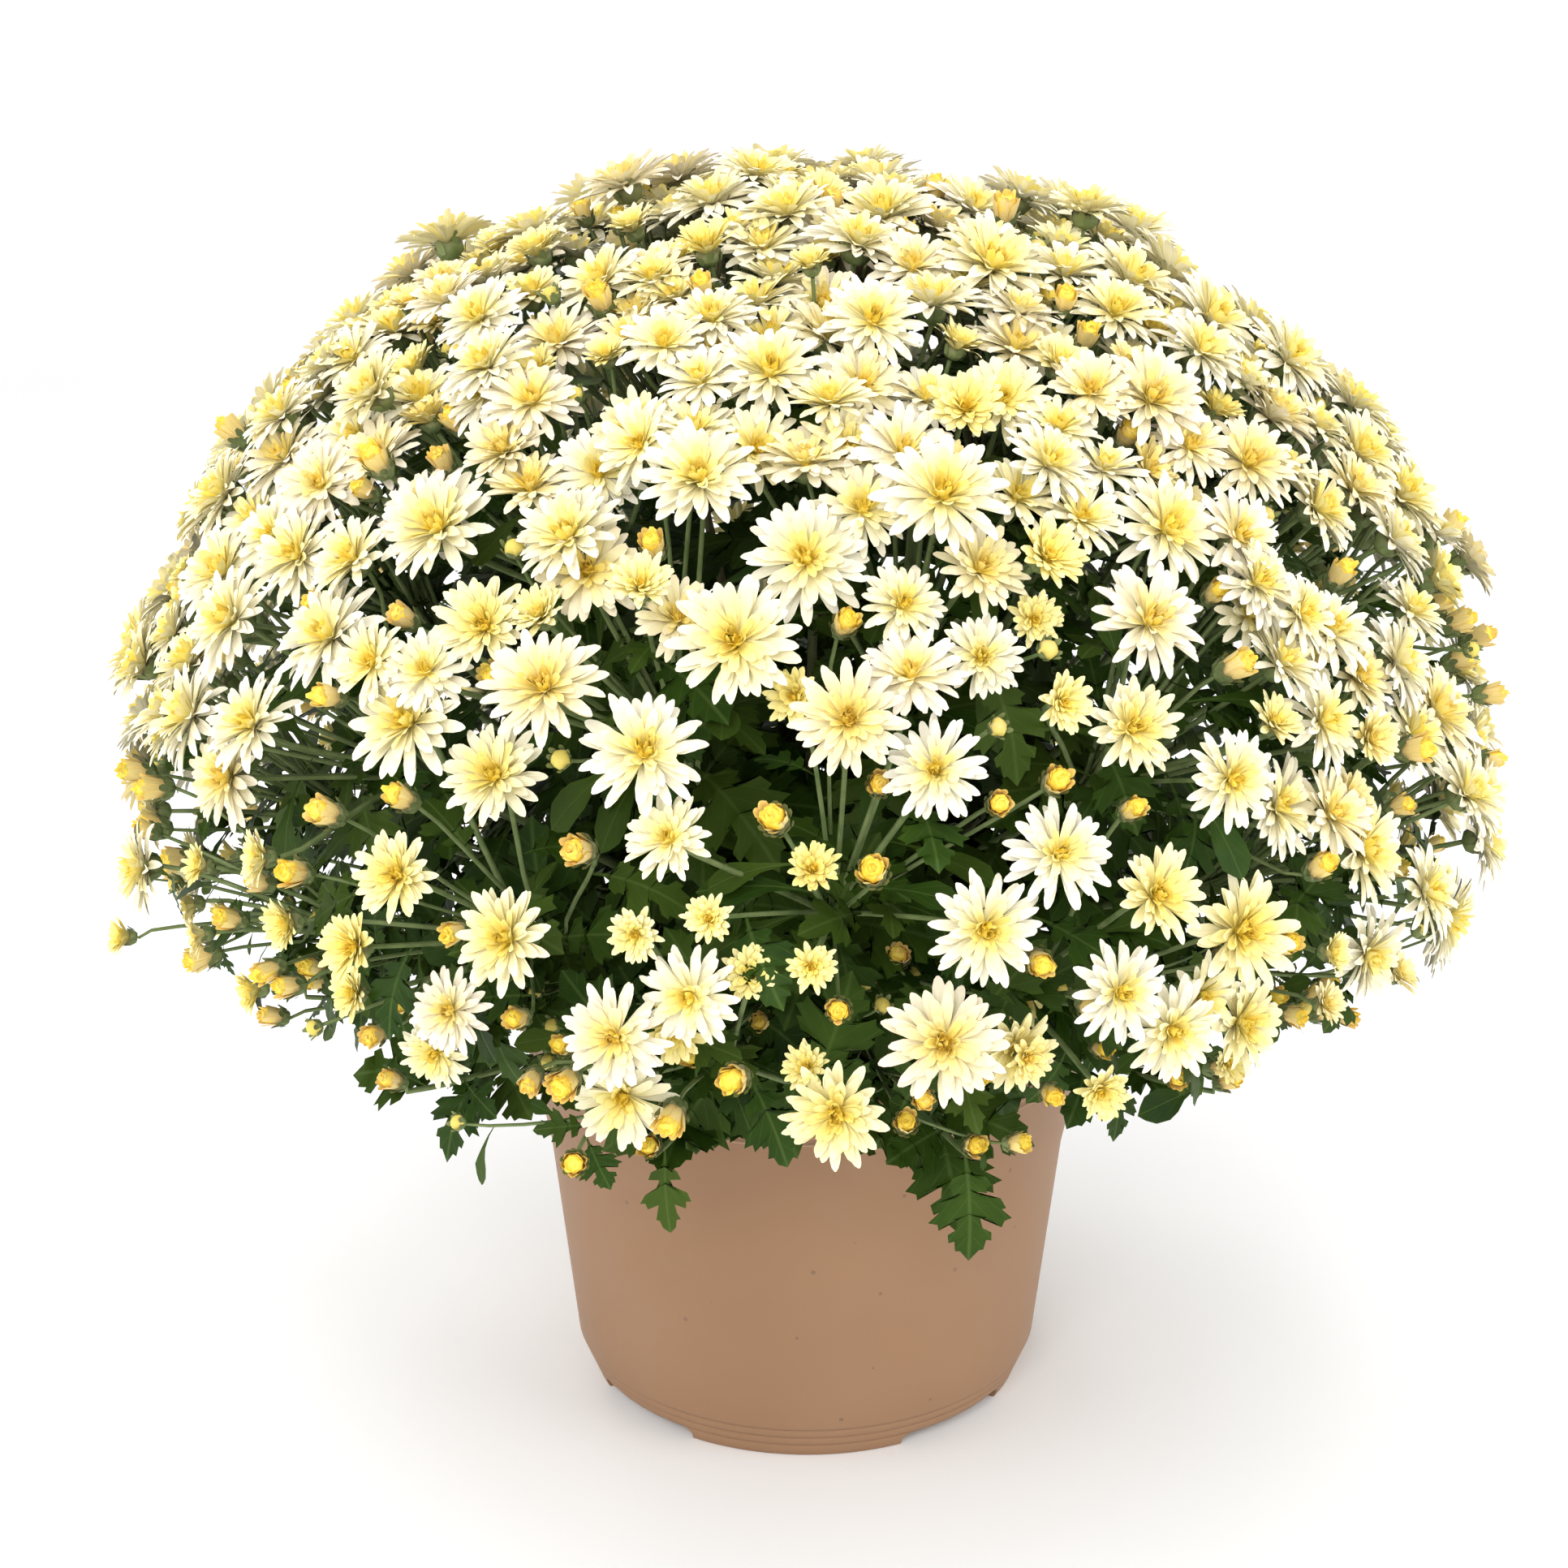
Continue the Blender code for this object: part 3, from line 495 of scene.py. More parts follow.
class Nodes:
    """A material's node tree with short calls that add nodes."""

    def __init__(self, name, roughness, specular):
        self.material = bpy.data.materials.new(name)
        self.material.use_nodes = True
        self.tree = self.material.node_tree
        self.inputs = self.tree.nodes["Principled BSDF"].inputs
        self.feed(self.inputs["Roughness"], roughness)
        self.feed(self.inputs["Specular IOR Level"], specular)

    def add(self, kind, inputs=None, **settings):
        node = self.tree.nodes.new("ShaderNode" + kind)
        for name, value in settings.items():
            setattr(node, name, value)
        for name, value in (inputs or {}).items():
            self.feed(node.inputs[name], value)
        return node

    def feed(self, target, value):
        """Links a value or socket to an input, or sets the input."""
        value = getattr(value, "socket", value)
        if isinstance(value, bpy.types.NodeSocket):
            self.tree.links.new(value, target)
        else:
            target.default_value = value

    def math(self, operation, a, b=0.0):
        return Value(self, self.add("Math", {0: a, 1: b}, operation=operation).outputs[0])

    def mix(self, share, under, over):
        """The colour over, an (r, g, b), laid by a share on the colour under."""
        inputs = {0: share, 6: under, 7: (*over, 1.0)}
        return self.add("Mix", inputs, data_type="RGBA").outputs[2]

    def ramp(self, value, stops):
        """A colour ramp over (place, (r, g, b)) stops."""
        node = self.add("ValToRGB", {0: value})
        elements = node.color_ramp.elements
        while len(elements) < len(stops):
            elements.new(0.5)
        for element, (place, colour) in zip(elements, stops):
            element.position = place
            element.color = (*colour, 1.0)
        return node.outputs[0]

    def place(self):
        return self.add("TexCoord").outputs["Object"]

    def noise(self, scale, detail, vector=None):
        inputs = {"Vector": vector or self.place(), "Scale": scale, "Detail": detail}
        return Value(self, self.add("TexNoise", inputs).outputs["Fac"])

    def dots(self, scale, size):
        """1 in small dots, one to a cell of 1 / scale, and 0 elsewhere. The size is a share of a cell."""
        cells = self.add("TexVoronoi", {"Vector": self.place(), "Scale": scale})
        return Value(self, cells.outputs["Distance"]) < size

    def uv(self, name):
        """The two numbers of a UV map."""
        split = self.add("SeparateXYZ", {0: self.add("UVMap", uv_map=name).outputs[0]})
        return Value(self, split.outputs[0]), Value(self, split.outputs[1])

    def bands(self, centres):
        """1 at each of some heights, falling to 0 close above and below it."""
        height = Value(self, self.add("SeparateXYZ", {0: self.place()}).outputs[2])
        found = 0.0
        for centre in centres:
            found = self.math("MAXIMUM", found, (1.0 - abs(height - centre) / BAND_HALF_WIDTH).clamp())
        return found

    def bump(self, height, strength, distance):
        node = self.add("Bump", {"Height": height, "Strength": strength, "Distance": distance})
        self.feed(self.inputs["Normal"], node.outputs[0])

    def colour(self, socket):
        self.feed(self.inputs["Base Color"], socket)


# Petal colours by age: ivory outside, lemon further in, golden at the heart, green-yellow in a bud
PETAL_AGES = (
    (0.00, (0.97, 0.93, 0.80)), (0.20, (0.98, 0.92, 0.65)), (0.46, (0.99, 0.88, 0.36)),
    (0.76, (0.99, 0.81, 0.17)), (1.00, (0.99, 0.75, 0.09)), (1.34, (0.74, 0.60, 0.13)),
)
AGE_SPAN = 1.5


def petal_material():
    """Coloured by age, with fine veins, pink edges on a few heads, and peach on the petals marked for it."""
    m = Nodes("chrysanthemum_petal", 0.60, 0.25)
    across, along = m.uv("shape")
    age, tone = m.uv("tone")
    peach = tone > PEACH_MARK * 0.75
    grade = age + (1.0 - along) * 0.14 + (m.noise(38.0, 2.0) - 0.5) * 0.16
    colour = m.ramp((grade / AGE_SPAN).clamp(), [(a / AGE_SPAN, rgb) for a, rgb in PETAL_AGES])
    rim = (abs(across - 0.5) * 2.0) ** 3.0
    flush = m.math("MAXIMUM", rim, along ** 6.0) * (m.math("FRACT", tone) > 0.80)
    colour = m.mix(flush * 0.24, colour, (0.80, 0.50, 0.46))
    colour = m.mix(peach * (1.0 - along * 0.55) * 0.75, colour, (0.95, 0.64, 0.34))
    vein = m.math("SINE", across * 34.0)
    m.colour(m.mix((vein + 1.0) * 0.018, colour, (0.70, 0.60, 0.34)))
    m.bump(vein, 0.25, 0.0002)
    return m.material


def leaf_material():
    """Mottled dark green with a paler midrib and side veins, yellower on some leaves."""
    m = Nodes("chrysanthemum_leaf", 0.46, 0.11)
    across, along = m.uv("shape")
    tone = m.uv("tone")[1]
    out = abs(across - 0.5)
    rib = (1.0 - out * 30.0).clamp()
    branch = abs(m.math("FRACT", (along - out * 0.9) * 6.0) - 0.5) * 2.0
    vein = m.math("MAXIMUM", rib, (1.0 - branch * 7.0).clamp() * 0.45)
    green = m.ramp(m.noise(60.0, 3.0), ((0.25, (0.012, 0.036, 0.003)), (0.75, (0.032, 0.070, 0.006))))
    green = m.mix(tone, green, (0.085, 0.130, 0.018))
    m.colour(m.mix(vein * 0.34, green, (0.13, 0.20, 0.05)))
    m.bump(m.noise(900.0, 2.0) * 0.35 - vein, 0.35, 0.0004)
    return m.material


def stem_material():
    """Grey-green and ribbed, browner at the tips of bracts, woodier towards the crown."""
    m = Nodes("chrysanthemum_stem", 0.58, 0.30)
    around, along = m.uv("shape")
    age = m.uv("tone")[0]
    flat = m.add("VectorMath", {0: m.place(), 1: (1.0, 1.0, 0.0)}, operation="MULTIPLY").outputs[0]
    away = Value(m, m.add("VectorMath", {0: flat}, operation="LENGTH").outputs["Value"])
    woody = (1.3 - away * 14.0).clamp()
    patch = m.noise(120.0, 3.0)
    green = m.ramp(patch, ((0.3, (0.120, 0.175, 0.055)), (0.7, (0.235, 0.295, 0.115))))
    bract_tip = along ** 3.0 * (age > 0.3)
    green = m.mix(bract_tip * 0.55, green, (0.24, 0.20, 0.10))
    m.colour(m.mix(woody, green, (0.17, 0.125, 0.065)))
    m.bump(m.math("SINE", around * 31.4) + patch, 0.3, 0.0002)
    return m.material


def pot_material():
    """Matte beige plastic, mottled, with a painted highlight along the ridges, painted shade in the grooves
    and a few dark specks.
    """
    m = Nodes("beige_plastic", 0.52, 0.35)
    cloud = m.noise(9.0, 3.0)
    colour = m.ramp(cloud, ((0.25, (0.284, 0.155, 0.081)), (0.75, (0.336, 0.190, 0.101))))
    wear = (m.noise(26.0, 4.0) - 0.5).clamp()
    colour = m.mix(wear * 0.9, colour, (0.32, 0.20, 0.135))
    # Painted highlight: the ridges are made lighter, as where light catches their tops
    colour = m.mix(m.bands(RIDGES) * 0.60, colour, (0.52, 0.36, 0.24))
    # Painted shade: the grooves are made darker, as where shade falls in them
    colour = m.mix(m.bands(GROOVES) * 0.30, colour, (0.19, 0.11, 0.065))
    speck = m.dots(90.0, 0.085) * (m.noise(31.0, 0.0) > 0.50)
    m.colour(m.mix(speck * 0.60, colour, (0.16, 0.10, 0.065)))
    m.bump(m.noise(1400.0, 2.0), 0.06, 0.0004)
    m.feed(m.inputs["Roughness"], cloud * 0.12 + 0.46)
    return m.material


def soil_material():
    """Dark peat mix with paler fibres and a few white grains."""
    m = Nodes("peat_soil", 0.95, 0.15)
    crumb = m.noise(420.0, 4.0)
    fibre = m.noise(180.0, 1.0) > 0.66
    colour = m.ramp(crumb, ((0.30, (0.016, 0.010, 0.006)), (0.70, (0.075, 0.046, 0.028))))
    colour = m.mix(fibre * 0.5, colour, (0.17, 0.11, 0.06))
    m.colour(m.mix(m.dots(120.0, 0.12) * 0.7, colour, (0.55, 0.52, 0.46)))
    m.bump(crumb, 0.8, 0.0015)
    return m.material


def crown_material():
    """Fissured grey-brown bark."""
    m = Nodes("woody_crown", 0.85, 0.2)
    stretch = m.add("Mapping", {"Vector": m.place(), "Scale": (1.0, 1.0, 0.25)}).outputs[0]
    bark = m.noise(260.0, 4.0, stretch)
    m.colour(m.ramp(bark, ((0.3, (0.060, 0.042, 0.024)), (0.7, (0.20, 0.155, 0.095)))))
    m.bump(bark, 0.9, 0.0010)
    return m.material


def floor_material():
    """Plain white with a very faint grain."""
    m = Nodes("white_floor", 0.9, 0.1)
    m.colour(m.ramp(m.noise(6.0, 1.0), ((0.3, (0.95, 0.95, 0.95)), (0.7, (0.97, 0.97, 0.97)))))
    return m.material


PETALS, LEAVES, STEMS = petal_material(), leaf_material(), stem_material()


# The plant

# Fillers are smaller heads between the sites, closer together towards the top of their band
FILLER_CANDIDATES = 3000
FILLER_SEED = 71
FILLER_PHASE = 0.7
FILLER_CLUMPS = 16.0
FILLER_CLUMPING = 0.45
FILLER_DEPTH = (0.002, 0.012)
FILLER_JITTER = 0.004
FILLER_LEAN = 0.34
FILLER_BAND = (0.29, 0.41)
FILLER_NEAR = (0.0226, 0.0146)
FILLER_OPEN = 0.0140
FILLER_RADII = {"under": 0.0155, "young": 0.0118, "cup": 0.0042, "bud": 0.0029}
FILLER_YOUNG, FILLER_CUPS = 0.16, 0.88
# How far heads stray from their sites, and how much they grow
SITE_SLIDE = 0.0035
SITE_STEP = (-0.0055, 0.0025)
SITE_LEAN = 0.24
OUTWARD_LEAN = 0.40
SKIRT_TOP = 0.238
SITE_GROWTH = (0.95, 1.22)
SITE_CUP_RADIUS = 0.0052
SITE_YOUNG_RADIUS = 0.0100
# Limits of the draw that picks a head: cup for a bud, young on the skirt, open, opening
CUP_PICK, SKIRT_PICK, OPEN_PICK, OPENING_PICK = 0.75, 0.42, 0.74, 0.90
# First seeds of the sprays and of the shoots
SPRAY_DRAWS, SHOOT_DRAWS = 9000, 9500
# Radii of stems at both ends
MAIN_STEM, SHOOT_STEM, SHOOT_NECK = (0.0024, 0.0016), (0.0020, 0.0010), (0.0010, 0.0008)
LOW_STEM, LOW_NECK, LOW_TWIG = (0.0012, 0.0007), (0.0007, 0.0006), (0.0007, 0.0005)
BLOOM_STALK, BUD_STALK, STALK_TAPER = 0.0009, 0.0007, 1.3
# Where stalks leave the main stem, along it from its hub
HUB_SPREAD = (-0.012, 0.014)
# Where stems start in the crown, as a share of its reach
ROOTED = 0.7
# Heads of radius 1: depth of the base under their place, collar, the collar's lift, depth of the neck
HEADS = {
    "open": (0.16, "calyx", 0.0, 0.33),
    "under": (0.16, "calyx", 0.0, 0.33),
    "opening": (0.24, "calyx", 0.0, 0.33),
    "young": (0.34, "calyx", 0.04, 0.33),
    "cup": (0.95, "scales", 0.35, 0.58),
    "bud": (1.0, "bracts", 1.15, 0.08),
}


def facing(point, normal, draw, lean):
    """The way a head faces: loosely its normal, turned a little out from the plant's axis."""
    out = Vector((point.x, point.y, 0.0)) / DOME_RADIUS
    return (normal + out * OUTWARD_LEAN + jitter(draw, lean)).normalized()


def filler_kind(pick, room, high):
    """Kind of a filler, more often open high up and where there is room."""
    open_share = 0.20 + 0.50 * high if room > FILLER_OPEN else 0.20 * high
    if pick < open_share:
        return "under"
    if pick < open_share + FILLER_YOUNG:
        return "young"
    return "cup" if pick < FILLER_CUPS else "bud"


def place_fillers(sprays):
    """Smaller heads in the gaps between the sites, a little below them, each with its spray."""
    draw = random.Random(FILLER_SEED)
    taken = [site["point"] for spray in sprays for site in spray["sites"]]
    fillers = []
    for point, normal in spiral(FILLER_CANDIDATES, FILLER_PHASE):
        point = point + jitter(draw, FILLER_JITTER) - normal * draw.uniform(*FILLER_DEPTH)
        high = np.interp(point.z, FILLER_BAND, (0, 1))
        room = min((point - other).length for other in taken)
        near = np.interp(point.z, FILLER_BAND, FILLER_NEAR)
        if room < near * (1 + FILLER_CLUMPING * noise.noise(point * FILLER_CLUMPS)):
            continue
        taken.append(point)
        fillers.append({
            "spray": min(sprays, key=lambda s: (s["centre"] - point).length),
            "point": point,
            "turn": draw.uniform(0, math.tau),
            "normal": facing(point, (normal + UP * BLOOM_LIFT).normalized(), draw, FILLER_LEAN),
            "kind": filler_kind(draw.random(), room, high),
        })
    return fillers


# All heads, collars and leaves that the plant repeats
TEMPLATES = {
    "open": [flower(100 + k, 1.0 - 0.10 * (k % 3)) for k in range(8)],
    "opening": [flower(150 + k, 0.62 - 0.08 * (k % 2)) for k in range(4)],
    "young": [flower(200 + k, 0.30 - 0.10 * (k % 2), True) for k in range(5)],
    "under": [flower(250 + k, 0.95 - 0.12 * (k % 3), True) for k in range(6)],
    "cup": [flower(300 + k, cup=True) for k in range(6)],
    "bud": [bud_ball(400 + k) for k in range(4)],
    "calyx": [calyx(0.30, 0.34, 6, 500 + k) for k in range(3)],
    "scales": [calyx(0.80, 0.95, 12, 550 + k) for k in range(3)],
    "bracts": [calyx(1.02, 1.25, 8, 600 + k) for k in range(3)],
    "lobed": [leaf(LOBED_EDGE, 0.80, 0.30 + 0.07 * k, 0.25, 0.03, 700 + k) for k in range(5)],
    "cut": [leaf(CUT_EDGE, 0.62, 0.25 + 0.08 * k, 0.22, 0.03, 720 + k) for k in range(4)],
    "spoon": [leaf(SPOON_EDGE, 0.34, 0.15 + 0.10 * k, 0.30, 0.02, 740 + k) for k in range(4)],
}


class Bunch:
    """Blooms, stems and leaves that grow together and become three pieces."""

    def __init__(self, seed):
        self.draw = random.Random(seed)
        self.blooms, self.stems, self.leaves = Heap(), Heap(), Heap()

    def stem(self, path, thick, thin, sides=5):
        self.stems.add(tube(path, thick, thin, sides))

    def head(self, kind, point, normal, turn, radius):
        """A bloom or bud with its collar. Returns its neck, where the stem ends."""
        draw = self.draw
        depth, collar, lift, neck = HEADS[kind]
        tone = (draw.uniform(-0.05, 0.07), draw.random())
        base = point - normal * radius * depth
        self.blooms.add(draw.choice(TEMPLATES[kind]), placing(base, normal, turn, radius), tone)
        seat = placing(base + normal * radius * lift, normal, turn, radius)
        self.stems.add(draw.choice(TEMPLATES[collar]), seat)
        return base - normal * radius * neck

    def leaf(self, kind, point, away, up, length):
        tone = (0.0, self.draw.uniform(0, 0.75) ** 2)
        place = leaf_placing(point, away, up, length)
        self.leaves.add(self.draw.choice(TEMPLATES[kind]), place, tone)

    def leaves_along(self, path, count, sizes, kinds, low=0.15, high=0.9):
        """Leaves round a stem, each a golden angle on from the last."""
        draw = self.draw
        turn = draw.uniform(0, math.tau)
        for k in range(count):
            share = low + (high - low) * (k + draw.uniform(0.2, 0.8)) / count
            place = share * (len(path) - 1)
            i = min(int(place), len(path) - 2)
            point = path[i].lerp(path[i + 1], place - i)
            tangent = (path[i + 1] - path[i]).normalized()
            side = tangent.orthogonal().normalized()
            side.rotate(Matrix.Rotation(turn, 3, tangent))
            turn += GOLDEN_ANGLE
            away = (side + tangent * draw.uniform(0.35, 1.0) - UP * draw.uniform(0.0, 0.35)).normalized()
            up = (tangent + UP * 0.6).normalized()
            self.leaf(draw.choice(kinds), point, away, up, draw.uniform(*sizes))

    def stalk(self, kind, point, normal, turn, radius, origin, axis, leaves=2):
        """A head on its own stalk, with leaves along it."""
        neck = self.head(kind, point, normal, turn, radius)
        length = (neck - origin).length
        path = hermite(origin, axis * length * 0.75, neck, normal * length * 0.45, 7)
        thick = BLOOM_STALK if HEADS[kind][1] == "calyx" else BUD_STALK
        self.stem(path, thick * STALK_TAPER, thick, 4)
        self.leaves_along(path, leaves, (0.022, 0.040), ("cut", "spoon", "lobed", "cut"), 0.08, 0.84)

    def build(self, name, node=None):
        """The three pieces; where a node is given, its CAD part is hidden."""
        parts = (("blooms", PETALS, "petal"), ("stems", STEMS, "leaf"), ("leaves", LEAVES, "leaf"))
        for part, material, slot in parts:
            piece = getattr(self, part).build(f"{name}_{part}", material)
            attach(piece, "root")
            if node:
                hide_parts(node)


def build_spray(index, spray, fillers):
    """One spray: its main stem with leaves, and a head on a stalk for each site and filler."""
    bunch = Bunch(SPRAY_DRAWS + index)
    draw = bunch.draw
    start, root, hub, axis = place_stem(spray)
    reach = (hub - root).length
    main = [CROWN_CENTRE + start * CROWN_REACH * ROOTED]
    main += hermite(root, start * reach * 1.1, hub + axis * 0.016, axis * reach * 0.9, 14)
    bunch.stem(main, *MAIN_STEM, 7)
    bunch.leaves_along(main, 16, (0.036, 0.056), ("lobed", "lobed", "cut"), 0.36, 1.0)
    for site in spray["sites"]:
        point = site["point"] + jitter(draw, SITE_SLIDE) + site["normal"] * draw.uniform(*SITE_STEP)
        normal = facing(point, site["normal"], draw, SITE_LEAN)
        kind, radius = "open", site["radius"] * draw.uniform(*SITE_GROWTH)
        pick = draw.random()
        if site["bud"]:
            kind, radius = ("cup", SITE_CUP_RADIUS) if pick < CUP_PICK else ("young", SITE_YOUNG_RADIUS)
        elif point.z < SKIRT_TOP and pick < SKIRT_PICK:
            kind, radius = "young", radius * 0.64
        elif pick > OPEN_PICK:
            kind, radius = ("opening", radius * 0.94) if pick < OPENING_PICK else ("young", radius * 0.82)
        origin = hub + axis * draw.uniform(*HUB_SPREAD)
        bunch.stalk(kind, point, normal, site["turn"], radius, origin, axis)
    for filler in fillers:
        kind = filler["kind"]
        radius = FILLER_RADII[kind] * draw.uniform(0.9, 1.12)
        origin = hub + axis * draw.uniform(*HUB_SPREAD)
        bunch.stalk(kind, filler["point"], filler["normal"], filler["turn"], radius, origin, axis, 1)
    node = f"spray_{index + 1:02d}"
    bunch.build(node, node)


# The large leaves of a sparse shoot and a full one, which take turns, as (hand, lift)
SHOOT_LEAVES = (
    ((1, 0.15), (-1, -0.10), (0, 0.10)),
    ((1, 0.0), (-1, 0.05), (1, 0.10), (0, -0.30), (-1, 0.10)),
)
SHOOT_CUP_RADIUS = 0.0042


def build_shoot(index):
    """One skirt shoot: a stem with leaves that hang over the rim, and a half-open head."""
    bunch = Bunch(SHOOT_DRAWS + index)
    draw = bunch.draw
    azimuth = (index + 0.5) * math.tau / SHOOTS
    out = direction_of(azimuth, math.pi / 2)
    side = UP.cross(out)
    start = CROWN_CENTRE + out * CROWN_REACH * ROOTED
    over = out * (POT_RIM_RADIUS + 0.004) + UP * (POT_HEIGHT + SHOOT_CLEARANCE + 0.001)
    tip = out * SHOOT_REACH + UP * SHOOT_TIP_HEIGHT
    inner = hermite(start, out * 0.06, over, out * 0.06, 8)
    outer = hermite(over, out * 0.05, tip + out * 0.018, (out + UP * 0.2) * 0.05, 7)
    path = inner + outer[1:]
    bunch.stem(path, *SHOOT_STEM, 6)
    for k, (hand, lift) in enumerate(SHOOT_LEAVES[index % 2]):
        point = over.lerp(tip, 0.15 + 0.19 * k)
        heading = (out * 0.55 + side * hand * 0.62 + UP * lift).normalized()
        bunch.leaf("lobed", point, heading, UP + out, 0.036 * draw.uniform(0.80, 1.20))
    bunch.leaves_along(path, 4, (0.022, 0.036), ("cut", "lobed", "spoon"), 0.55, 1.0)
    end = tip + out * 0.024 + UP * 0.006
    neck = bunch.head("cup", end, (out + UP * 0.5).normalized(), 0.0, SHOOT_CUP_RADIUS)
    bunch.stem([path[-2], path[-1], neck], *SHOOT_NECK)
    node = f"skirt_shoot_{index + 1:02d}"
    bunch.build(node, node)


# Low stems: how far and how high their tips reach, wider on the left, and the radii of their heads
LOW_SEED = 55
LOW_STEMS = 48
LOW_REACH = (0.185, 0.240)
LOW_SPREAD_LEFT = 0.013
LOW_HEIGHT = (0.182, 0.236)
LOW_RADII = {"cup": 0.0041, "bud": 0.0027, "young": 0.0100}


def low_head(bunch, point, aim, kinds):
    """A small head, turned up a little from the way of its stem. Returns its neck and facing."""
    draw = bunch.draw
    kind = draw.choice(kinds)
    face = (aim + UP * 0.30).normalized()
    radius = LOW_RADII[kind] * draw.uniform(0.9, 1.1)
    return bunch.head(kind, point, face, draw.uniform(0, 6), radius), face


def build_low_stems():
    """Thin stems that arch over the rim under the dome's edge, with small heads and leaves."""
    bunch = Bunch(LOW_SEED)
    draw = bunch.draw
    for k in range(LOW_STEMS):
        azimuth = (k + draw.uniform(-0.35, 0.35)) * math.tau / LOW_STEMS
        out = direction_of(azimuth, math.pi / 2)
        side = UP.cross(out)
        reach = draw.uniform(*LOW_REACH) + LOW_SPREAD_LEFT * max(0.0, -out.x) ** 2
        tip = out * reach + UP * draw.uniform(*LOW_HEIGHT)
        start = CROWN_CENTRE + direction_of(azimuth, math.radians(60)) * CROWN_REACH * ROOTED
        heading = (out + UP * draw.uniform(-0.15, 0.45) + side * draw.uniform(-0.4, 0.4)).normalized()
        path = hermite(start, (out * 0.6 + UP * 0.55) * 0.20, tip, heading * 0.13, 16)
        bunch.stem(path, *LOW_STEM, 4)
        bunch.leaves_along(path, 7, (0.018, 0.034), ("cut", "spoon", "lobed"), 0.45, 0.96)
        neck, face = low_head(bunch, tip + heading * 0.012, heading, ("cup", "young"))
        bunch.stem([path[-2], path[-1], neck], *LOW_NECK)
        for twig in range(draw.choice((2, 3, 4))):
            place = 8 + twig * 1.8 + draw.uniform(0, 0.9)
            origin = path[int(place)]
            along = (path[int(place) + 1] - origin).normalized()
            hand = 1 if twig % 2 else -1
            aim = (along + side * hand * draw.uniform(0.3, 0.9) + UP * draw.uniform(-0.3, 0.4)).normalized()
            end = origin + aim * draw.uniform(0.028, 0.062)
            spread = math.hypot(end.x, end.y)
            end -= out * max(0.0, spread - LOW_REACH[1] - 0.018)
            neck, face = low_head(bunch, end, aim, ("cup", "bud", "bud"))
            branch = hermite(origin, along * 0.03, neck, face * 0.03, 6)
            bunch.stem(branch, *LOW_TWIG, 4)
            bunch.leaves_along(branch, 2, (0.010, 0.020), ("spoon", "spoon", "cut"), 0.2, 0.85)
    bunch.build("low")


# Pot, soil and crown

POT_SEGMENTS = 144
POT_SHARP = math.radians(40)
POT_WALL = 0.0020
POT_SHOULDER = (0.1030, 0.1004)
POT_HEEL = (0.0937, 0.0163)
POT_FOOT_RADIUS = 0.0869
POT_FOOT_WALL = 0.0030
POT_FLOOR = (0.0078, 0.0102)
FOOT_ROUND = 0.0004
LIP_ROUND = 0.0006
CREST_ROUND = 0.0009
RIM_LIP_DEPTH = 0.0045
RIM_LIP_STEP = 0.0016
RIDGE_HEIGHT = 0.0006
GROOVE_DEPTH = 0.0006
BEAD_HALF_WIDTH = 0.0010
SLOT_COUNT = 4
SLOT_ANGLE = math.radians(35)
SLOT_HEIGHT = 0.0052
SLOT_TURN = math.radians(-3)
SLOT_REACH = 0.009
# Outline of a slot as (share of its angle, height)
SLOT_ARCH = (1.0, -0.002), (1.0, 0.60 * SLOT_HEIGHT), (0.96, 0.86 * SLOT_HEIGHT), (0.86, SLOT_HEIGHT)
DRAIN_RADIUS = 0.0060
DRAIN_CIRCLE = 0.0720
DRAIN_DEPTH = 0.004


def outer_radius(height):
    """Radius of the pot's outer wall, without its beads and lip."""
    radii = POT_FOOT_RADIUS, POT_HEEL[0], POT_SHOULDER[0], POT_RIM_RADIUS - RIM_LIP_STEP
    return float(np.interp(height, (0.0, POT_HEEL[1], POT_SHOULDER[1], POT_HEIGHT), radii))


def wall_point(height, inset=0.0):
    """A (radius, height) point of the pot's outer wall, or inset from it."""
    return outer_radius(height) - inset, height


def beads(heights, rise):
    """Profile points of small rounded ridges, or of grooves where the rise is negative."""
    points = []
    for height in heights:
        for share in (-1.0, -0.7, -0.35, 0.0, 0.35, 0.7, 1.0):
            z = height + share * BEAD_HALF_WIDTH
            points.append((outer_radius(z) + rise * math.cos(share * math.pi / 2) ** 2, z))
    return points


def pot_profile():
    """The pot's section as (radius, height) points: up the outside, over the lip and down inside."""
    lip_bottom = POT_HEIGHT - RIM_LIP_DEPTH
    lip = [
        (POT_RIM_RADIUS - LIP_ROUND * (1 - math.sin(a)), lip_bottom + LIP_ROUND * (1 - math.cos(a)))
        for a in (0.0, 0.8, 1.57)
    ]
    inside = outer_radius(POT_HEIGHT) - POT_WALL
    middle, half = (POT_RIM_RADIUS + inside) / 2, (POT_RIM_RADIUS - inside) / 2
    crest = [
        (middle + half * math.cos(a), POT_HEIGHT - CREST_ROUND + CREST_ROUND * math.sin(a))
        for a in np.linspace(0, math.pi, 9)
    ]
    foot_inside = POT_FOOT_RADIUS - POT_FOOT_WALL
    return [
        (POT_FOOT_RADIUS - FOOT_ROUND, 0.0),
        (POT_FOOT_RADIUS + FOOT_ROUND / 2, FOOT_ROUND),
        *beads(GROOVES, -GROOVE_DEPTH),
        *[wall_point(z) for z in np.linspace(POT_HEEL[1], POT_SHOULDER[1], 7)],
        wall_point(0.1200),
        *beads(RIDGES, RIDGE_HEIGHT),
        wall_point(lip_bottom),
        *lip,
        *crest,
        *[wall_point(z, POT_WALL) for z in (POT_SHOULDER[1], POT_HEEL[1], POT_FLOOR[1])],
        (0.0, POT_FLOOR[1]),
        (0.0, POT_FLOOR[0]),
        (foot_inside, POT_FLOOR[0]),
        (foot_inside, FOOT_ROUND),
        (foot_inside + FOOT_ROUND, 0.0),
    ]


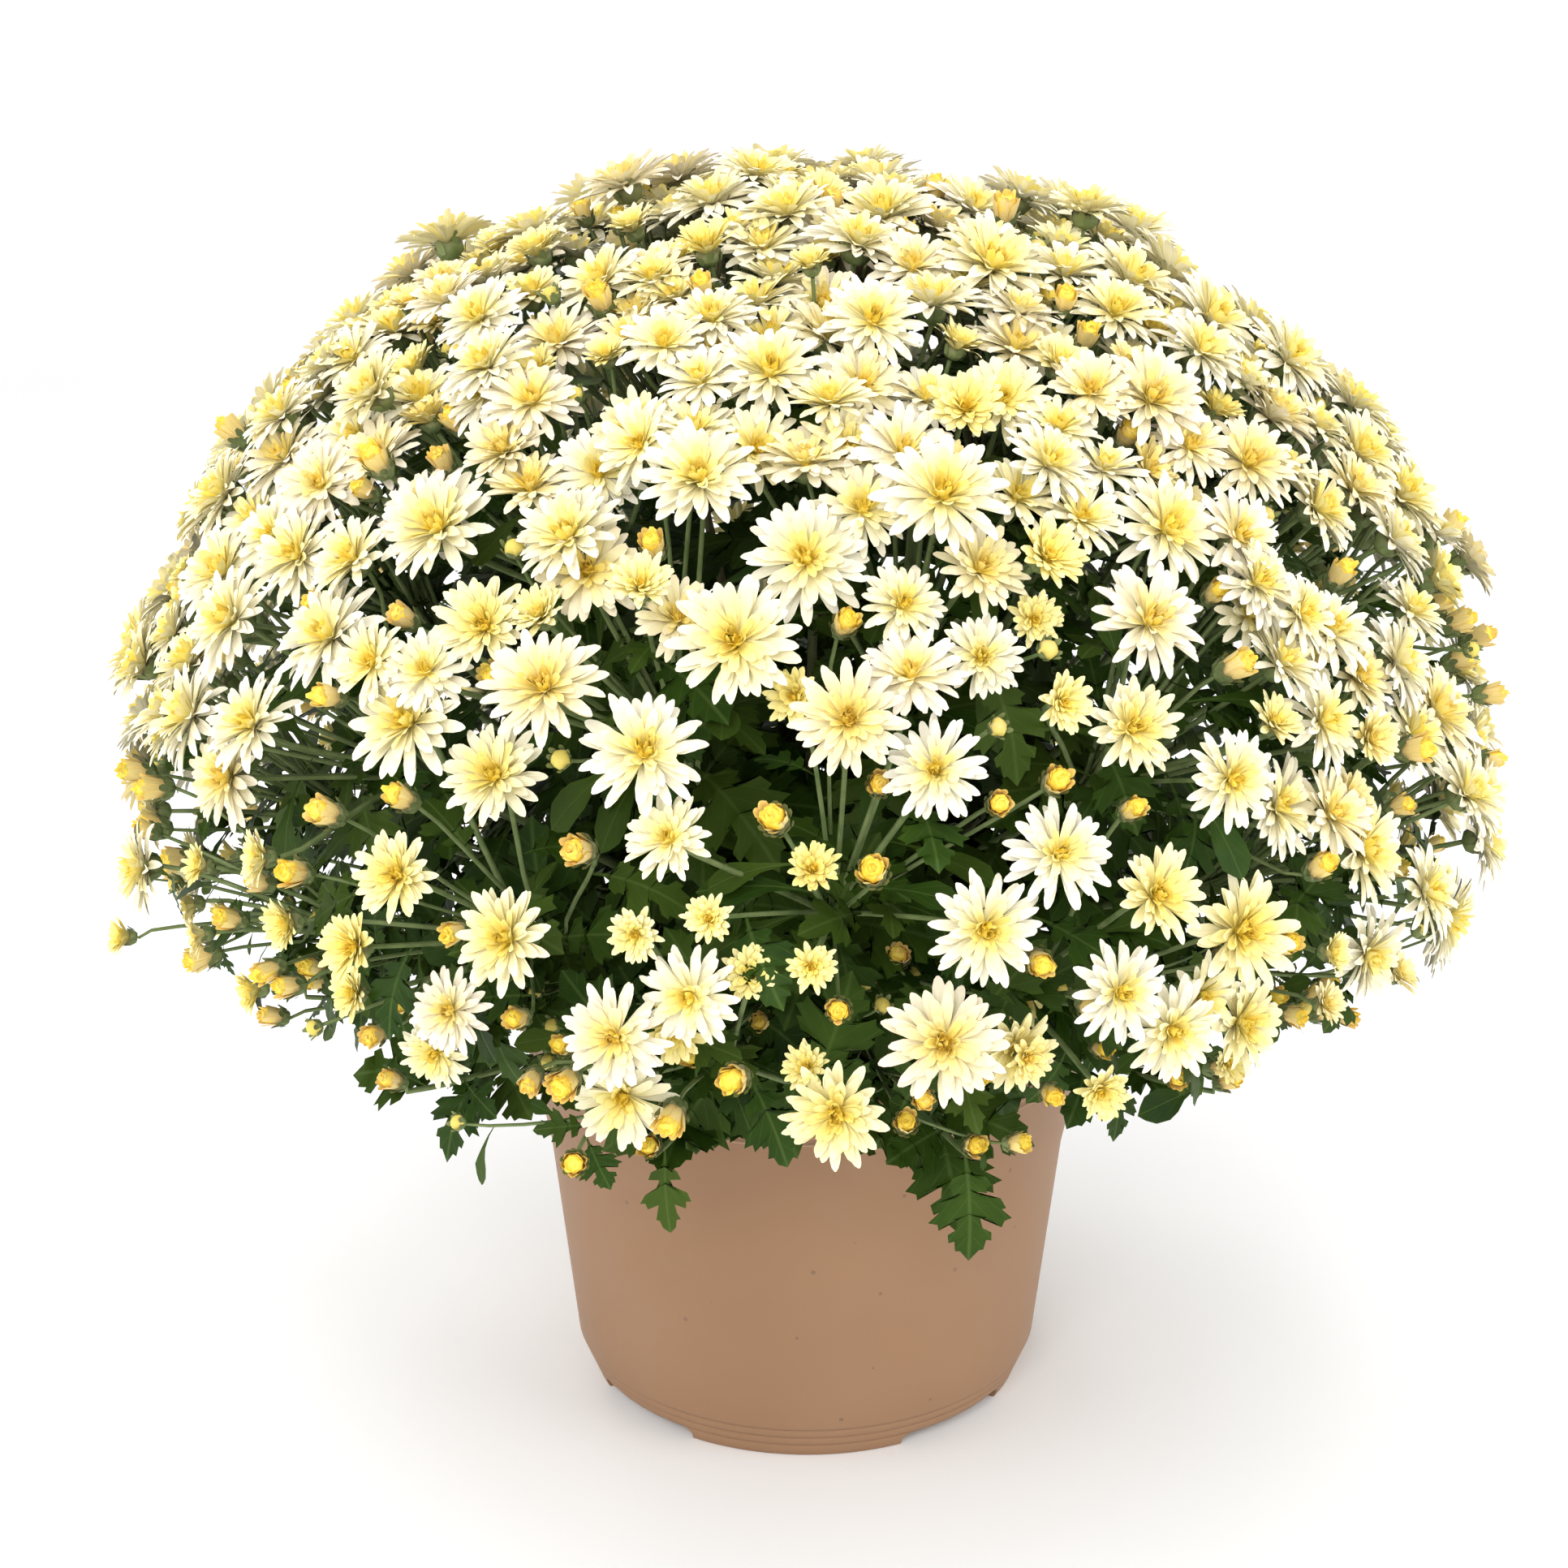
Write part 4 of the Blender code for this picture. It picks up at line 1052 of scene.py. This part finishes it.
def turned(profile, segments):
    """A closed body of revolution as a bmesh, from (radius, height) points round its section."""
    bm = bmesh.new()
    loops = []
    for radius, height in profile:
        turns = [math.tau * k / segments for k in range(segments if radius else 1)]
        loops.append([bm.verts.new((radius * math.cos(a), radius * math.sin(a), height)) for a in turns])
    for low, high in zip(loops, loops[1:] + loops[:1]):
        if len(low) == len(high) == 1:
            continue
        for k in range(segments):
            after = (k + 1) % segments
            corners = low[k % len(low)], low[after % len(low)], high[after % len(high)], high[k % len(high)]
            bm.faces.new(list(dict.fromkeys(corners)))
    return bm


def shade(mesh, sharp):
    """Shades a mesh smoothly, with hard edges over the sharp angle."""
    mesh.shade_smooth()
    mesh.set_sharp_from_angle(angle=sharp)


def object_from(name, bm, material, sharp=POT_SHARP):
    """The bmesh as a shaded object."""
    bmesh.ops.recalc_face_normals(bm, faces=bm.faces[:])
    mesh = bpy.data.meshes.new(name)
    bm.to_mesh(mesh)
    bm.free()
    shade(mesh, sharp)
    mesh.materials.append(material)
    return add_object(name, mesh)


def pot_cutters():
    """Wedges that open the foot ring and cylinders for the drain holes, as one bmesh."""
    cutters = bmesh.new()
    for k in range(SLOT_COUNT):
        turn = SLOT_TURN + math.pi / SLOT_COUNT + k * math.tau / SLOT_COUNT
        wedge = []
        for share, level in SLOT_ARCH:
            for radius in (POT_FOOT_RADIUS - SLOT_REACH, POT_FOOT_RADIUS + SLOT_REACH):
                for step in np.linspace(-0.5, 0.5, 13):
                    a = turn + SLOT_ANGLE * share * step
                    wedge.append(cutters.verts.new((radius * math.cos(a), radius * math.sin(a), level)))
        bmesh.ops.convex_hull(cutters, input=wedge)
        x, y = DRAIN_CIRCLE * math.cos(turn), DRAIN_CIRCLE * math.sin(turn)
        bmesh.ops.create_cone(
            cutters, cap_ends=True, segments=32, radius1=DRAIN_RADIUS, radius2=DRAIN_RADIUS,
            depth=DRAIN_DEPTH, matrix=Matrix.Translation((x, y, sum(POT_FLOOR) / 2)),
        )
    bmesh.ops.delete(cutters, geom=[v for v in cutters.verts if not v.link_faces], context="VERTS")
    return cutters


def build_pot():
    """The pot with its slots and drain holes cut."""
    material = pot_material()
    pot = object_from("pot_shell", turned(pot_profile(), POT_SEGMENTS), material)
    cutter = object_from("pot_cutter", pot_cutters(), material)
    modifier = pot.modifiers.new("cut", "BOOLEAN")
    modifier.operation = "DIFFERENCE"
    modifier.object = cutter
    graph = bpy.context.evaluated_depsgraph_get()
    mesh = bpy.data.meshes.new_from_object(pot.evaluated_get(graph))
    pot.modifiers.clear()
    pot.data = mesh
    shade(mesh, POT_SHARP)
    bpy.data.objects.remove(cutter, do_unlink=True)
    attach(pot, "root")
    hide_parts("pot")


SOIL_RINGS = 44
SOIL_COLUMNS = 120


def build_soil():
    """The soil, with a crumbly surface."""
    edge = outer_radius(SOIL_TOP) - POT_WALL - FIT_GAP
    floor = POT_FLOOR[1] + FIT_GAP
    heights = (floor, POT_HEEL[1], POT_SHOULDER[1], SOIL_TOP - 0.003)
    profile = [(0.0, floor)] + [wall_point(z, POT_WALL + FIT_GAP) for z in heights]
    profile += [(edge * (1 - k / SOIL_RINGS), SOIL_TOP) for k in range(SOIL_RINGS)] + [(0.0, SOIL_TOP)]
    bm = turned(profile, SOIL_COLUMNS)
    for vertex in bm.verts:
        if vertex.co.z > SOIL_TOP - 0.0001:
            radius = math.hypot(vertex.co.x, vertex.co.y)
            crumbs = noise.noise(vertex.co * 160) * 0.0011 + noise.noise(vertex.co * 420) * 0.0007
            clods = max(0.0, noise.noise(vertex.co * 70 + Vector((3.0, 1.0, 2.0)))) * 0.0028
            vertex.co.z += crumbs + clods - 0.0016 * (radius / edge) ** 6
    soil = object_from("soil_surface", bm, soil_material(), math.radians(70))
    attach(soil, "root")
    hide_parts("soil")


def build_crown():
    """The woody crown, a knotty stump in the soil."""
    bm = bmesh.new()
    bmesh.ops.create_icosphere(bm, subdivisions=4, radius=1.0)
    for vertex in bm.verts:
        way = vertex.co.normalized()
        ridges = 0.5 + 0.5 * math.sin(9 * math.atan2(way.y, way.x) + 2.5 * way.z)
        knots = noise.noise(way * 4.0) * 0.0020 + noise.noise(way * 11.0) * 0.0008
        reach = CROWN_REACH * (0.94 + 0.06 * ridges) + knots
        depth = 1.5 if way.z < 0 else 0.95
        vertex.co = CROWN_CENTRE + Vector((way.x, way.y, way.z * depth)) * reach
    crown = object_from("crown_wood", bm, crown_material(), math.radians(80))
    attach(crown, "root")
    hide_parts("crown")


# Stage


def build_stage():
    """A wide pale floor that runs up behind the plant."""
    bm = bmesh.new()
    profile = [(-3.0, 0.0), (2.2, 0.0)]
    profile += [(2.2 + 0.8 * math.sin(a), 0.8 - 0.8 * math.cos(a)) for a in np.linspace(0.2, math.pi / 2, 7)]
    profile.append((3.0, 5.0))
    rows = [[bm.verts.new((x, y, z)) for x in (-5.0, 5.0)] for y, z in profile]
    for a, b in zip(rows, rows[1:]):
        bm.faces.new((a[0], a[1], b[1], b[0]))
    object_from("floor", bm, floor_material(), math.radians(60))


# Soft lights: name, place, height of the point on the axis that they face, size, watts
LIGHTS = (
    ("key", (-0.45, -1.75, 1.15), 0.30, 0.9, 13),
    ("fill", (1.7, -0.8, 1.0), 0.30, 1.3, 12),
    ("side", (-1.7, -0.4, 0.9), 0.30, 1.3, 7),
    ("top", (0.0, -0.7, 1.9), 0.40, 1.3, 6),
    ("back", (-0.6, 1.5, 1.5), 0.30, 1.2, 11),
)
WORLD_STRENGTH = 0.90


def light_scene():
    """A white world and a ring of soft round area lights."""
    world = bpy.data.worlds.new("studio")
    world.use_nodes = True
    background = world.node_tree.nodes["Background"].inputs
    background["Color"].default_value = (1.0, 1.0, 1.0, 1.0)
    background["Strength"].default_value = WORLD_STRENGTH
    SCENE.world = world
    for name, place, height, size, power in LIGHTS:
        light = bpy.data.lights.new(name, "AREA")
        light.shape, light.size, light.energy = "DISK", size, power
        lamp = add_object(name, light)
        lamp.location = place
        lamp.rotation_euler = (UP * height - Vector(place)).to_track_quat("-Z", "Y").to_euler()


def add_camera():
    data = bpy.data.cameras.new("camera")
    data.sensor_width = 36.0
    data.angle = CAMERA_VIEW
    camera = add_object("camera", data)
    camera.location = CAMERA_PLACE
    camera.rotation_euler = (math.pi / 2 - CAMERA_DOWN, 0.0, 0.0)
    SCENE.camera = camera


sprays = place_sprays()
fillers = place_fillers(sprays)
for number, one_spray in enumerate(sprays):
    build_spray(number, one_spray, [filler for filler in fillers if filler["spray"] is one_spray])
for number in range(SHOOTS):
    build_shoot(number)
build_low_stems()
build_pot()
build_soil()
build_crown()
build_stage()
light_scene()
add_camera()
SCENE.cycles.max_bounces = 6
SCENE.cycles.diffuse_bounces = 4
SCENE.cycles.glossy_bounces = 2
SCENE.view_settings.view_transform = "Standard"
